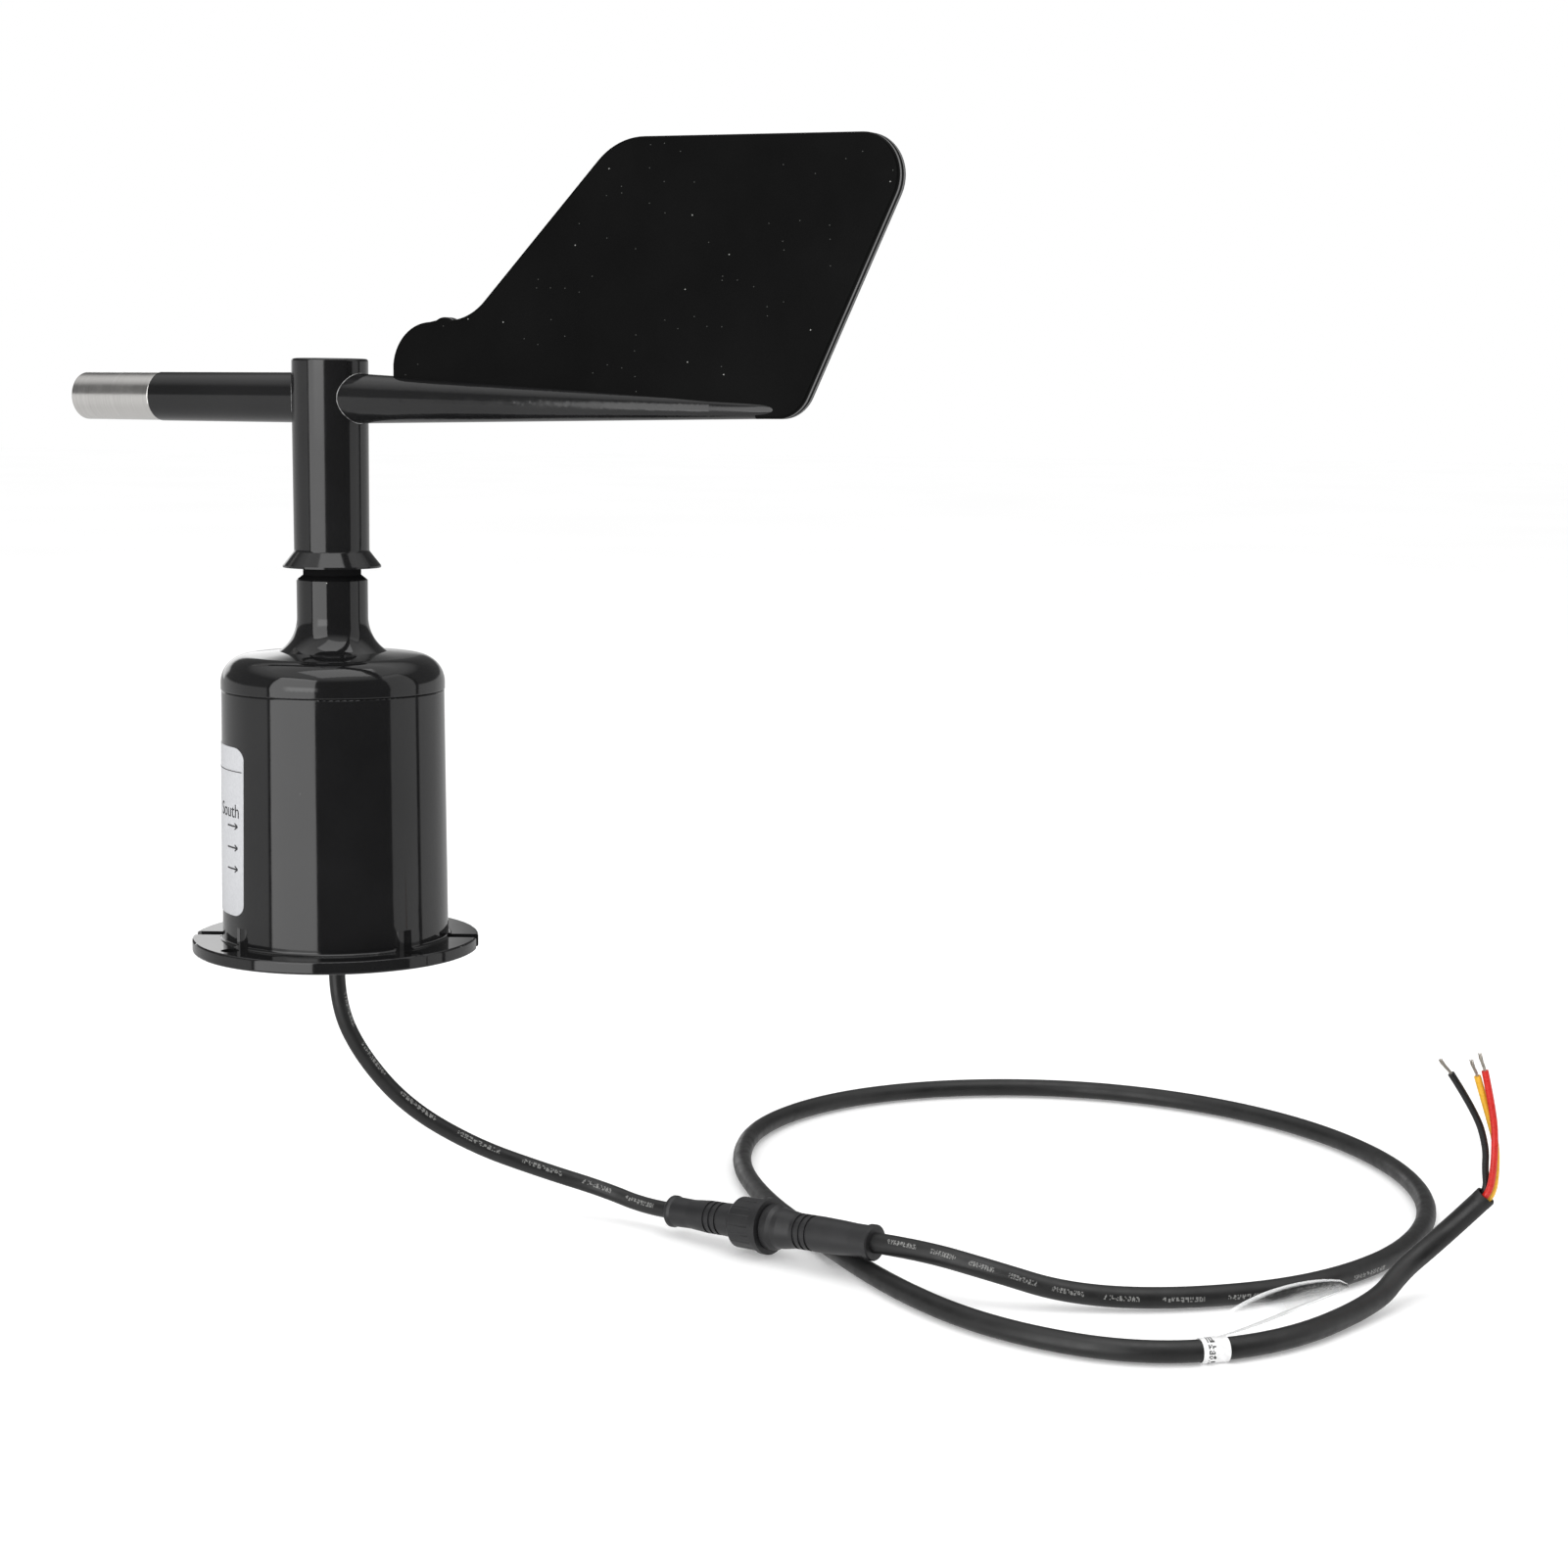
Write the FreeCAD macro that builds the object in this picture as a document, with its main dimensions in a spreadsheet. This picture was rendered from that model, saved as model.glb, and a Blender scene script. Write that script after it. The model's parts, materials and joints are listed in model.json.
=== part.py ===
import FreeCAD, Part
import math
import os
import re

import Sketcher
from FreeCAD import Placement, Rotation, Vector

# Wind direction sensor: a balanced vane on a vertical shaft, above a round housing with a flange.
# Millimetres. Z runs up the mast, and z = 0 is the face that the flange is bolted down by.
# The lead leaves the middle of the underside, drops to the bench below, and ends in bare wires.

SIZES = [
    # flange and housing
    ("flange_r", 36.0), ("flange_t", 3.2), ("wall_low_r", 28.4), ("wall_top_r", 27.75),
    ("bore_r", 25.6), ("seam_z", 66.2), ("hole_ring_r", 32.0), ("hole_r", 2.25),
    ("scallop_r", 4.4), ("scallop_top_z", 8.1), ("notch_w", 4.6), ("edge_round", 0.5),
    ("ledge_z", 3.4), ("ledge_t", 2.0), ("ledge_r", 19.5), ("post_r", 3.2),
    ("post_ring_r", 22.8), ("post_top_z", 50.0), ("pilot_r", 1.25), ("seam_round", 0.35),
    # cap: dome, flare, neck and spigot
    ("cap_r", 27.9), ("shoulder_z", 74.2), ("shoulder_round", 7.0), ("flare_low_r", 13.4),
    ("flare_low_z", 75.8), ("flare_round", 10.3), ("neck_r", 8.85), ("flare_top_z", 84.5),
    ("neck_top_z", 93.6), ("spigot_r", 7.2), ("spigot_low_z", 94.9), ("spigot_top_z", 103.4),
    ("plug_r", 25.5), ("plug_in_r", 23.6), ("plug_low_z", 60.2), ("groove_r", 24.0),
    ("groove_low_z", 62.2), ("groove_w", 1.8), ("seal_wire_r", 0.78),
    ("ceiling_z", 72.4), ("boss_r", 8.5), ("boss_low_z", 67.2), ("lip_r", 4.2),
    # underside
    ("cover_r", 25.3), ("cover_z", 0.2), ("cover_t", 2.6), ("gasket_t", 0.6),
    ("gland_r", 5.0), ("gland_flange_r", 6.6), ("gland_low_z", -5.5), ("gland_top_z", 8.0),
    ("gland_bore_r", 3.3), ("gland_nut_t", 3.0), ("gland_nut_r", 8.0), ("head_t", 1.15),
    ("slot_w", 0.6),
    # direction label
    ("label_half_w", 20.5), ("label_low_z", 11.0), ("label_top_z", 53.1), ("label_corner", 3.0),
    ("label_t", 0.15),
    # electronics
    ("board_t", 1.6), ("board_r", 25.2), ("sensor_ring_r", 9.0), ("sensor_t", 1.5),
    ("sensor_l", 4.0), ("sensor_w", 3.0), ("chip_w", 7.0), ("chip_t", 1.4), ("chip_x", -9.0),
    ("chip_y", 5.0), ("capacitor_r", 3.0), ("capacitor_h", 7.0), ("capacitor_x", -8.0),
    ("capacitor_y", -9.0), ("header_t", 7.0), ("header_l", 11.0), ("header_w", 6.0),
    ("header_x", 8.0), ("header_y", -7.0), ("header_pitch", 3.0), ("wire_r", 0.85),
    # bearings and shaft
    ("shaft_r", 2.5), ("bearing_r", 5.5), ("bearing_w", 4.0), ("inner_race_r", 3.35),
    ("outer_race_r", 4.65), ("ball_ring_r", 4.0), ("ball_r", 0.72), ("track_r", 0.79),
    ("low_bearing_z", 68.7), ("top_bearing_z", 98.0), ("clip_t", 0.8), ("clip_groove_r", 5.95),
    ("shaft_groove_r", 2.1), ("shaft_low_z", 63.5), ("shaft_top_z", 131.0), ("collar_r", 3.2),
    ("collar_t", 1.2), ("magnet_r", 7.0), ("magnet_t", 3.0), ("holder_r", 8.5), ("holder_t", 6.0),
    # vane
    ("skirt_z", 96.8), ("skirt_r", 12.2), ("skirt_lip", 0.5), ("hub_low_z", 100.9),
    ("hub_low_r", 9.35), ("hub_top_r", 9.5), ("hub_top_z", 148.4), ("hub_well_r", 7.9),
    ("hub_well_z", 104.6), ("bush_r", 4.0), ("arm_z", 138.8), ("arm_r", 6.25),
    ("arm_end", 54.8), ("arm_spigot_r", 4.6), ("arm_web", 2.0), ("weight_r", 6.1),
    ("weight_end", 81.5), ("stud_r", 3.0), ("stud_end", 42.4), ("boom_root_r", 6.45),
    ("boom_tip_r", 2.08), ("boom_tip_x", 124.0), ("boom_tip_z", 136.93), ("fin_t", 4.0),
    ("fin_edge_round", 0.8), ("tongue_t", 1.6), ("tongue_z", 138.2), ("tongue_start", 26.0),
    ("tongue_end", 104.0), ("tongue_h", 6.3), ("grub_r", 1.5), ("grub_z", 118.0),
    # cable and connector
    ("lead_r", 2.1), ("cable_r", 2.6), ("inline_end", 66.0), ("nut_low", 22.9),
    ("nut_high", 33.1), ("nut_bore_r", 5.5), ("nut_tail_r", 4.45), ("nut_r", 6.7),
    ("nut_rim_r", 7.2), ("flute_r", 0.7), ("pin_r", 0.5), ("pin_ring_r", 1.8), ("pin_l", 5.0),
    ("band_r", 2.95), ("band_w", 6.5), ("flag_l", 31.0), ("flag_w", 6.0), ("flag_t", 0.25),
    ("tip_r", 0.45), ("tip_l", 4.5),
]
REST_YAW = -30.0  # the tail's direction at rest, in degrees about Z from +X
SCREW_ANGLES = (90.0, 210.0, 330.0)
FLANGE_HOLE_ANGLES = (45.0, 135.0, 225.0, 315.0)
BENCH_Z = -76.0  # the surface that the cable lies on

doc = FreeCAD.newDocument("wind_direction_sensor")
sheet = doc.addObject("Spreadsheet::Sheet", "dims")
for row, (alias, number) in enumerate(SIZES, start=1):
    sheet.set("A%d" % row, alias)
    sheet.set("B%d" % row, str(number))
    sheet.setAlias("B%d" % row, alias)
doc.recompute()
ALIASES = {alias for alias, _ in SIZES}
nodes = []


def bound(text):
    """The expression text with each size's name turned into a reference to the sheet."""
    return re.sub(r"[a-z_]\w*", lambda m: "dims." + m.group() if m.group() in ALIASES else m.group(),
                  str(text))


def value(text):
    """The number that a size expression has now."""
    return float(sheet.evalExpression(bound(text).replace("dims.", "")))


def bind(obj, **expressions):
    for name, text in expressions.items():
        obj.setExpression(name, bound(text))
    return obj


def move(obj, x="0", y="0", z="0"):
    """Bind where an object's own origin lies."""
    for axis, text in zip("xyz", (x, y, z)):
        obj.setExpression(".Placement.Base." + axis, bound(text))
    return obj


def node(obj, label):
    """Name an object as one of the sub-parts that are written out."""
    obj.Label = label
    nodes.append(obj)
    return obj


# ---------------------------------------------------------------- shapes

def cylinder(radius, height, x="0", y="0", z="0", rotation=None):
    obj = bind(doc.addObject("Part::Cylinder", "Cylinder"), Radius=radius, Height=height)
    if rotation:
        obj.Placement.Rotation = rotation
    return move(obj, x, y, z)


def box(length, width, height, x="0", y="0", z="0"):
    """A box centred on x and y, standing on z."""
    obj = bind(doc.addObject("Part::Box", "Box"), Length=length, Width=width, Height=height)
    return move(obj, "%s - (%s) / 2" % (x, length), "%s - (%s) / 2" % (y, width), z)


def cut(base, *tools):
    obj = doc.addObject("Part::Cut", "Cut")
    obj.Base = base
    obj.Tool = tools[0] if len(tools) == 1 else group(*tools)
    return obj


def fuse(*shapes):
    obj = doc.addObject("Part::MultiFuse", "Fuse")
    obj.Shapes = list(shapes)
    return obj


def group(*shapes):
    """Several solids kept apart in one object."""
    obj = doc.addObject("Part::Compound", "Group")
    obj.Links = list(shapes)
    return obj


def ring(inner, outer, height, z):
    return cut(cylinder(outer, height, z=z), cylinder(inner, "%s + 2" % height, z="%s - 1" % z))


def around(angle, radius):
    """The x and y expressions of a point at an angle on a circle about Z."""
    c = round(math.cos(math.radians(angle)), 6)
    s = round(math.sin(math.radians(angle)), 6)
    return "(%s) * (%s)" % (radius, c), "(%s) * (%s)" % (radius, s)


def origin_plane(body, role):
    return next(f for f in body.Origin.OriginFeatures if f.Role == role)


def pin_down(sketch, geo, point, x, y):
    """Fix one end of a sketch line to the sheet's sizes."""
    for text, axis, kind in ((x, -2, "DistanceX"), (y, -1, "DistanceY")):
        number = value(text)
        if abs(number) < 1e-9:
            sketch.addConstraint(Sketcher.Constraint("PointOnObject", geo, point, axis))
            continue
        index = sketch.addConstraint(Sketcher.Constraint(kind, -1, 1, geo, point, number))
        sketch.setExpression("Constraints[%d]" % index, bound(text))


def closed_outline(sketch, corners):
    """Draw corners (x, y) or (x, y, bend), where bend is the radius of an arc that goes on
    from that corner to the next: positive turns left, negative turns right."""
    spots = [Vector(value(c[0]), value(c[1]), 0) for c in corners]
    ends = []
    for i, corner in enumerate(corners):
        a, b = spots[i], spots[(i + 1) % len(spots)]
        if len(corner) == 2:
            geo = sketch.addGeometry(Part.LineSegment(a, b))
            ends.append((geo, 1, 2))
            continue
        bend = value(corner[2])
        chord = b - a
        left = Vector(-chord.y, chord.x, 0).normalize()
        rise = math.sqrt(bend ** 2 - (chord.Length / 2) ** 2)
        centre = (a + b) / 2 + left * math.copysign(rise, bend)
        first, last = (a, b) if bend > 0 else (b, a)
        angles = [math.atan2(p.y - centre.y, p.x - centre.x) for p in (first, last)]
        arc = Part.ArcOfCircle(Part.Circle(centre, Vector(0, 0, 1), abs(bend)), *angles)
        geo = sketch.addGeometry(arc)
        ends.append((geo, 1, 2) if bend > 0 else (geo, 2, 1))
    for i, (geo, start, end) in enumerate(ends):
        following = ends[(i + 1) % len(ends)]
        sketch.addConstraint(Sketcher.Constraint("Coincident", geo, end, following[0], following[1]))
    for (geo, start, end), corner in zip(ends, corners):
        pin_down(sketch, geo, start, corner[0], corner[1])
        if len(corner) == 3:
            index = sketch.addConstraint(Sketcher.Constraint("Radius", geo, abs(value(corner[2]))))
            sketch.setExpression("Constraints[%d]" % index, bound("abs(%s)" % corner[2]))


def profile(name, corners):
    """A new body with one closed sketch in its XZ plane."""
    body = doc.addObject("PartDesign::Body", "turned_" + name)
    sketch = body.newObject("Sketcher::SketchObject", "outline_" + name)
    sketch.AttachmentSupport = (origin_plane(body, "XZ_Plane"), [""])
    sketch.MapMode = "FlatFace"
    closed_outline(sketch, corners)
    return body, sketch


def turned(name, corners, rounds=()):
    """A body turned about Z from (radius, height) corners. Each round is (radius, height, size)
    and fillets the circular edge there."""
    body, sketch = profile(name, corners)
    feature = body.newObject("PartDesign::Revolution", name + "_turn")
    feature.Profile = sketch
    feature.ReferenceAxis = (sketch, ["V_Axis"])
    feature.Angle = 360.0
    doc.recompute()
    for index, (radius, height, size) in enumerate(rounds):
        spot = (value(radius), value(height))
        names = []
        for number, edge in enumerate(body.Tip.Shape.Edges, start=1):
            curve = edge.Curve
            if hasattr(curve, "Radius") and abs(curve.Radius - spot[0]) < 1e-4 \
                    and abs(curve.Center.z - spot[1]) < 1e-4:
                names.append("Edge%d" % number)
        before = body.Tip
        fillet = body.newObject("PartDesign::Fillet", "%s_round_%d" % (name, index))
        fillet.Base = (before, names)
        bind(fillet, Radius=size)
        body.Tip = fillet
        doc.recompute()
    return body


# ---------------------------------------------------------------- housing

def make_housing():
    shell = turned("housing", [
        ("bore_r", "0"), ("flange_r", "0"), ("flange_r", "flange_t"), ("wall_low_r", "flange_t"),
        ("wall_top_r", "seam_z"), ("bore_r", "seam_z"), ("bore_r", "ledge_z + ledge_t"),
        ("ledge_r", "ledge_z + ledge_t"), ("ledge_r", "ledge_z"), ("bore_r", "ledge_z"),
    ], [("flange_r", "flange_t", "edge_round"), ("flange_r", "0", "edge_round"),
        ("wall_low_r", "flange_t", "edge_round * 1.6"), ("wall_top_r", "seam_z", "seam_round")])
    posts, tools = [], []
    for angle in SCREW_ANGLES:
        x, y = around(angle, "post_ring_r")
        posts.append(cylinder("post_r", "post_top_z - ledge_z", x, y, "ledge_z"))
        tools.append(cylinder("pilot_r", "12", x, y, "ledge_z - 1"))
        tools.append(cylinder("pilot_r", "9", x, y, "post_top_z - 8"))
    for angle in FLANGE_HOLE_ANGLES:
        x, y = around(angle, "hole_ring_r")
        tools.append(cylinder("hole_r", "flange_t + 2", x, y, "-1"))
        tools.append(cylinder("scallop_r", "scallop_top_z - flange_t", x, y, "flange_t"))
    for side in (1, -1):
        tools.append(box("flange_r - wall_low_r + 2", "notch_w", "flange_t + 2",
                         "%d * (flange_r + wall_low_r + 2) / 2" % side, "0", "-1"))
    node(cut(fuse(shell, *posts), *tools), "base_housing")


def make_cap():
    cap = turned("cap", [
        ("plug_in_r", "plug_low_z"), ("plug_r", "plug_low_z"), ("plug_r", "groove_low_z"),
        ("groove_r", "groove_low_z"), ("groove_r", "groove_low_z + groove_w"),
        ("plug_r", "groove_low_z + groove_w"), ("plug_r", "seam_z"), ("cap_r", "seam_z"),
        ("cap_r", "shoulder_z"), ("flare_low_r", "flare_low_z", "-flare_round"),
        ("neck_r", "flare_top_z"), ("neck_r", "neck_top_z"), ("spigot_r", "spigot_low_z"),
        ("spigot_r", "spigot_top_z"), ("lip_r", "spigot_top_z"),
        ("lip_r", "top_bearing_z + bearing_w"), ("bearing_r", "top_bearing_z + bearing_w"),
        ("bearing_r", "low_bearing_z"), ("clip_groove_r", "low_bearing_z"),
        ("clip_groove_r", "low_bearing_z - clip_t"), ("bearing_r", "low_bearing_z - clip_t"),
        ("bearing_r", "boss_low_z"), ("boss_r", "boss_low_z"), ("boss_r", "ceiling_z"),
        ("plug_in_r - 2.8", "ceiling_z"), ("plug_in_r", "ceiling_z - 3.6"),
    ], [("cap_r", "shoulder_z", "shoulder_round"), ("cap_r", "seam_z", "seam_round")])
    node(cap, "top_cap")
    seal = bind(doc.addObject("Part::Torus", "CapSeal"), Radius1="bore_r - seal_wire_r - 0.02",
                Radius2="seal_wire_r")
    node(move(seal, z="groove_low_z + groove_w / 2"), "cap_seal")


def make_underside():
    gasket_z = "cover_z + cover_t"
    cover_holes = [cylinder("gland_r", "cover_t + 2", z="cover_z - 1")]
    gasket_holes, screws = [], []
    for angle in SCREW_ANGLES:
        x, y = around(angle, "post_ring_r")
        cover_holes.append(cylinder("pilot_r + 0.1", "cover_t + 2", x, y, "cover_z - 1"))
        cover_holes.append(cylinder("pilot_r * 2 + 0.2", "head_t + 1.05", x, y, "cover_z - 1"))
        gasket_holes.append(cylinder("pilot_r + 0.1", "2", x, y, gasket_z))
        head = cylinder("pilot_r * 2", "head_t", x, y, "cover_z + 0.05")
        slot = box("pilot_r * 3", "slot_w", "head_t / 2", x, y, "cover_z")
        shank = cylinder("pilot_r", "11.6", x, y, "cover_z + head_t + 0.05")
        screws.append(fuse(cut(head, slot), shank))
    node(cut(cylinder("cover_r", "cover_t", z="cover_z"), *cover_holes), "bottom_cover")
    node(cut(ring("ledge_r + 0.1", "cover_r - 0.1", "gasket_t", gasket_z), *gasket_holes),
         "cover_gasket")
    node(group(*screws), "cover_screws")

    node(turned("gland", [
        ("gland_bore_r", "gland_low_z"), ("gland_r - 0.8", "gland_low_z"),
        ("gland_r + 0.2", "-2.2"), ("gland_flange_r", "-1.8"), ("gland_flange_r", "cover_z"),
        ("gland_r", "cover_z"), ("gland_r", "gland_top_z"), ("gland_bore_r", "gland_top_z"),
    ]), "cable_gland")
    node(ring("lead_r", "gland_bore_r", "gland_top_z - gland_low_z", "gland_low_z"), "gland_bush")
    hexagon = bind(doc.addObject("Part::Prism", "GlandHexagon"), Circumradius="gland_nut_r",
                   Height="gland_nut_t")
    hexagon.Polygon = 6
    move(hexagon, z=gasket_z)
    node(cut(hexagon, cylinder("gland_r", "gland_nut_t + 4", z=gasket_z + " - 2")), "gland_nut")


def make_label():
    """A direction label that wraps the housing's wall on the -X side."""
    def cone(extra):
        obj = doc.addObject("Part::Cone", "LabelCone")
        bind(obj, Radius1="wall_low_r + %s" % extra, Radius2="wall_top_r + %s" % extra,
             Height="seam_z - flange_t")
        return move(obj, z="flange_t")
    skin = cut(cone("label_t"), cone("0"))
    side, inner_side = "label_half_w", "label_half_w - label_corner"
    low, top = "label_low_z", "label_top_z"
    inner_low, inner_top = low + " + label_corner", top + " - label_corner"
    body, sketch = profile("label", [
        ("-(%s)" % inner_side, low), (inner_side, low, "label_corner"),
        (side, inner_low), (side, inner_top, "label_corner"),
        (inner_side, top), ("-(%s)" % inner_side, top, "label_corner"),
        ("-" + side, inner_top), ("-" + side, inner_low, "label_corner"),
    ])
    pad = body.newObject("PartDesign::Pad", "label_pad")
    pad.Profile = sketch
    pad.Length = 40.0
    body.Placement = Placement(Vector(0, 0, 0), Rotation(Vector(0, 0, 1), -90))
    patch = doc.addObject("Part::MultiCommon", "LabelPatch")
    patch.Shapes = [skin, body]
    node(patch, "direction_label")


# ---------------------------------------------------------------- electronics

def make_electronics():
    board_z = "post_top_z"
    top_z = "post_top_z + board_t"
    holes, screws, sensors = [], [], []
    for angle in SCREW_ANGLES:
        x, y = around(angle, "post_ring_r")
        holes.append(cylinder("pilot_r", "board_t + 2", x, y, "post_top_z - 1"))
        head = cylinder("pilot_r * 1.75", "1.6", x, y, top_z)
        slot = box("pilot_r * 3.5", "slot_w", "0.9", x, y, top_z + " + 1")
        screws.append(fuse(cut(head, slot), cylinder("pilot_r", "8.6", x, y, "post_top_z - 7")))
    node(cut(cylinder("board_r", "board_t", z=board_z), *holes), "main_board")
    node(group(*screws), "board_screws")
    for index in range(8):
        x, y = around(45.0 * index, "sensor_ring_r")
        sensors.append(box("sensor_l", "sensor_w", "sensor_t", x, y, top_z))
    node(group(*sensors), "hall_sensors")
    node(box("chip_w", "chip_w", "chip_t", "chip_x", "chip_y", "post_top_z - chip_t"),
         "controller_chip")
    node(cylinder("capacitor_r", "capacitor_h", "capacitor_x", "capacitor_y",
                  "post_top_z - capacitor_h"), "smoothing_capacitor")
    node(box("header_l", "header_w", "header_t", "header_x", "header_y", "post_top_z - header_t"),
         "wire_header")
    node(cylinder("lead_r", "gland_top_z + 1 - gland_low_z", z="gland_low_z"), "lead_inner_end")
    wires = []
    start, end = value("gland_top_z + 1"), value("post_top_z - header_t")
    core_ring_r, straight = 1.1, 9.0
    to_y = value("header_y")
    for index, angle in enumerate((150.0, 270.0, 30.0)):
        a = math.radians(angle)
        x, y = core_ring_r * math.cos(a), core_ring_r * math.sin(a)
        to_x = value("header_x + header_pitch * %d" % (index - 1))
        path = [(x, y, start), (x, y, start + straight), (to_x, to_y, end - straight),
                (to_x, to_y, end)]
        wires.append(swept("inner_wire_%d" % index, path, value("wire_r")))
    node(group(*wires), "inner_wires")


# ---------------------------------------------------------------- bearings, shaft and magnet

def make_bearing(name, z):
    track = {}
    for part in ("outer", "inner", "balls"):
        tool = doc.addObject("Part::Torus", "Track")
        track[part] = move(bind(tool, Radius1="ball_ring_r", Radius2="track_r"),
                           z="%s + bearing_w / 2" % z)
    node(cut(ring("outer_race_r", "bearing_r", "bearing_w", z), track["outer"]),
         name + "_bearing_outer")
    node(cut(ring("shaft_r", "inner_race_r", "bearing_w", z), track["inner"]),
         name + "_bearing_inner")
    balls, windows = [], []
    for index in range(8):
        angle = 45.0 * index
        x, y = around(angle, "ball_ring_r")
        ball = bind(doc.addObject("Part::Sphere", "Ball"), Radius="ball_r")
        balls.append(move(ball, x, y, "%s + bearing_w / 2" % z))
        x, y = around(angle, "ball_ring_r - 1")
        outwards = Rotation(Vector(0, 0, 1), angle) * Rotation(Vector(0, 1, 0), 90)
        windows.append(cylinder("ball_r + 0.05", "2", x, y, "%s + bearing_w / 2" % z, outwards))
    node(group(*balls), name + "_bearing_balls")
    node(cut(ring("ball_ring_r - 0.4", "ball_ring_r + 0.4", "2.2", "%s + bearing_w / 2 - 1.1" % z),
             *windows), name + "_bearing_cage")


def make_rotor_core():
    make_bearing("lower", "low_bearing_z")
    make_bearing("upper", "top_bearing_z")
    spacer_z = "low_bearing_z + bearing_w"
    node(ring("outer_race_r", "bearing_r", "top_bearing_z - low_bearing_z - bearing_w", spacer_z),
         "bearing_spacer")
    clip_z = "low_bearing_z - clip_t"
    node(cut(ring("outer_race_r + 0.2", "clip_groove_r", "clip_t", clip_z),
             box("3", "3", "clip_t + 2", "bearing_r", "0", clip_z + " - 1")), "bearing_circlip")
    node(turned("shaft", [
        ("0", "shaft_low_z"), ("shaft_r", "shaft_low_z"), ("shaft_r", "low_bearing_z - clip_t"),
        ("shaft_groove_r", "low_bearing_z - clip_t"), ("shaft_groove_r", "low_bearing_z"),
        ("shaft_r", "low_bearing_z"), ("shaft_r", "top_bearing_z + bearing_w"),
        ("collar_r", "top_bearing_z + bearing_w"),
        ("collar_r", "top_bearing_z + bearing_w + collar_t"),
        ("shaft_r", "top_bearing_z + bearing_w + collar_t"), ("shaft_r", "shaft_top_z"),
        ("0", "shaft_top_z"),
    ]), "rotor_shaft")
    node(cut(ring("shaft_groove_r", "inner_race_r + 0.2", "clip_t", clip_z),
             box("3", "2.4", "clip_t + 2", "-shaft_r - 0.4", "0", clip_z + " - 1")), "shaft_clip")
    magnet_z = "shaft_low_z - magnet_t"
    node(turned("holder", [
        ("magnet_r", magnet_z), ("holder_r", magnet_z), ("holder_r", magnet_z + " + holder_t"),
        ("shaft_r", magnet_z + " + holder_t"), ("shaft_r", "shaft_low_z"),
        ("magnet_r", "shaft_low_z"),
    ]), "magnet_holder")
    node(cylinder("magnet_r", "magnet_t", z=magnet_z), "ring_magnet")


# ---------------------------------------------------------------- vane, drawn with its tail along +X

ALONG_X = Rotation(Vector(0, 1, 0), 90)


def x_cylinder(radius, start, end):
    """A cylinder along X at the arms' height."""
    return cylinder(radius, "(%s) - (%s)" % (end, start), start, "0", "arm_z", ALONG_X)


def hub_blank():
    obj = doc.addObject("Part::Cone", "HubBlank")
    bind(obj, Radius1="hub_low_r", Radius2="hub_top_r", Height="hub_top_z - hub_low_z")
    return move(obj, z="hub_low_z")


def boom_blank():
    """The tapered boom, from the mast's axis to its tip. Its underside stays nearly level."""
    loft = doc.addObject("Part::Loft", "BoomLoft")
    rings = []
    for radius, x, z in (("boom_root_r", "0", "arm_z"), ("boom_tip_r", "boom_tip_x", "boom_tip_z")):
        circle = bind(doc.addObject("Part::Circle", "BoomRing"), Radius=radius)
        circle.Placement.Rotation = ALONG_X
        rings.append(move(circle, x, "0", z))
    loft.Sections = rings
    loft.Solid = True
    loft.Ruled = True
    return loft


def make_fin():
    """A flat plate with an arced lug in front, cut to sit over the boom, and a tongue below."""
    body, sketch = profile("fin", [
        ("21", "138.5"), ("21", "147", "-11.3"), ("32", "157.1"), ("34.2", "157.5", "-4"),
        ("38.8", "157.5", "15.7"), ("48.5", "162"), ("80.95", "193.57", "-17.6"),
        ("93.65", "198.56"), ("150.4", "197.35", "-9.5"), ("158.7", "183.8"),
        ("137.2", "139.8", "-8.6"), ("129.5", "134.9"), ("boom_tip_x", "134.86"),
        ("boom_tip_x", "boom_tip_z"),
    ])
    pad = body.newObject("PartDesign::Pad", "fin_pad")
    pad.Profile = sketch
    bind(pad, Length="fin_t")
    pad.Midplane = True
    doc.recompute()
    names = []
    for number, edge in enumerate(pad.Shape.Edges, start=1):
        box_ = edge.BoundBox
        flat = abs(box_.YMax - box_.YMin) < 1e-6
        inside = box_.XMax <= value("boom_tip_x") + 1e-6 and box_.ZMax < value("boom_tip_z") + 2
        if flat and not inside:
            names.append("Edge%d" % number)
    fillet = body.newObject("PartDesign::Fillet", "fin_round")
    fillet.Base = (pad, names)
    bind(fillet, Radius="fin_edge_round")
    body.Tip = fillet
    doc.recompute()
    tongue = box("tongue_end - tongue_start", "tongue_t", "tongue_h",
                 "(tongue_start + tongue_end) / 2", "0", "tongue_z")
    return fuse(cut(body, boom_blank()), tongue)


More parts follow.
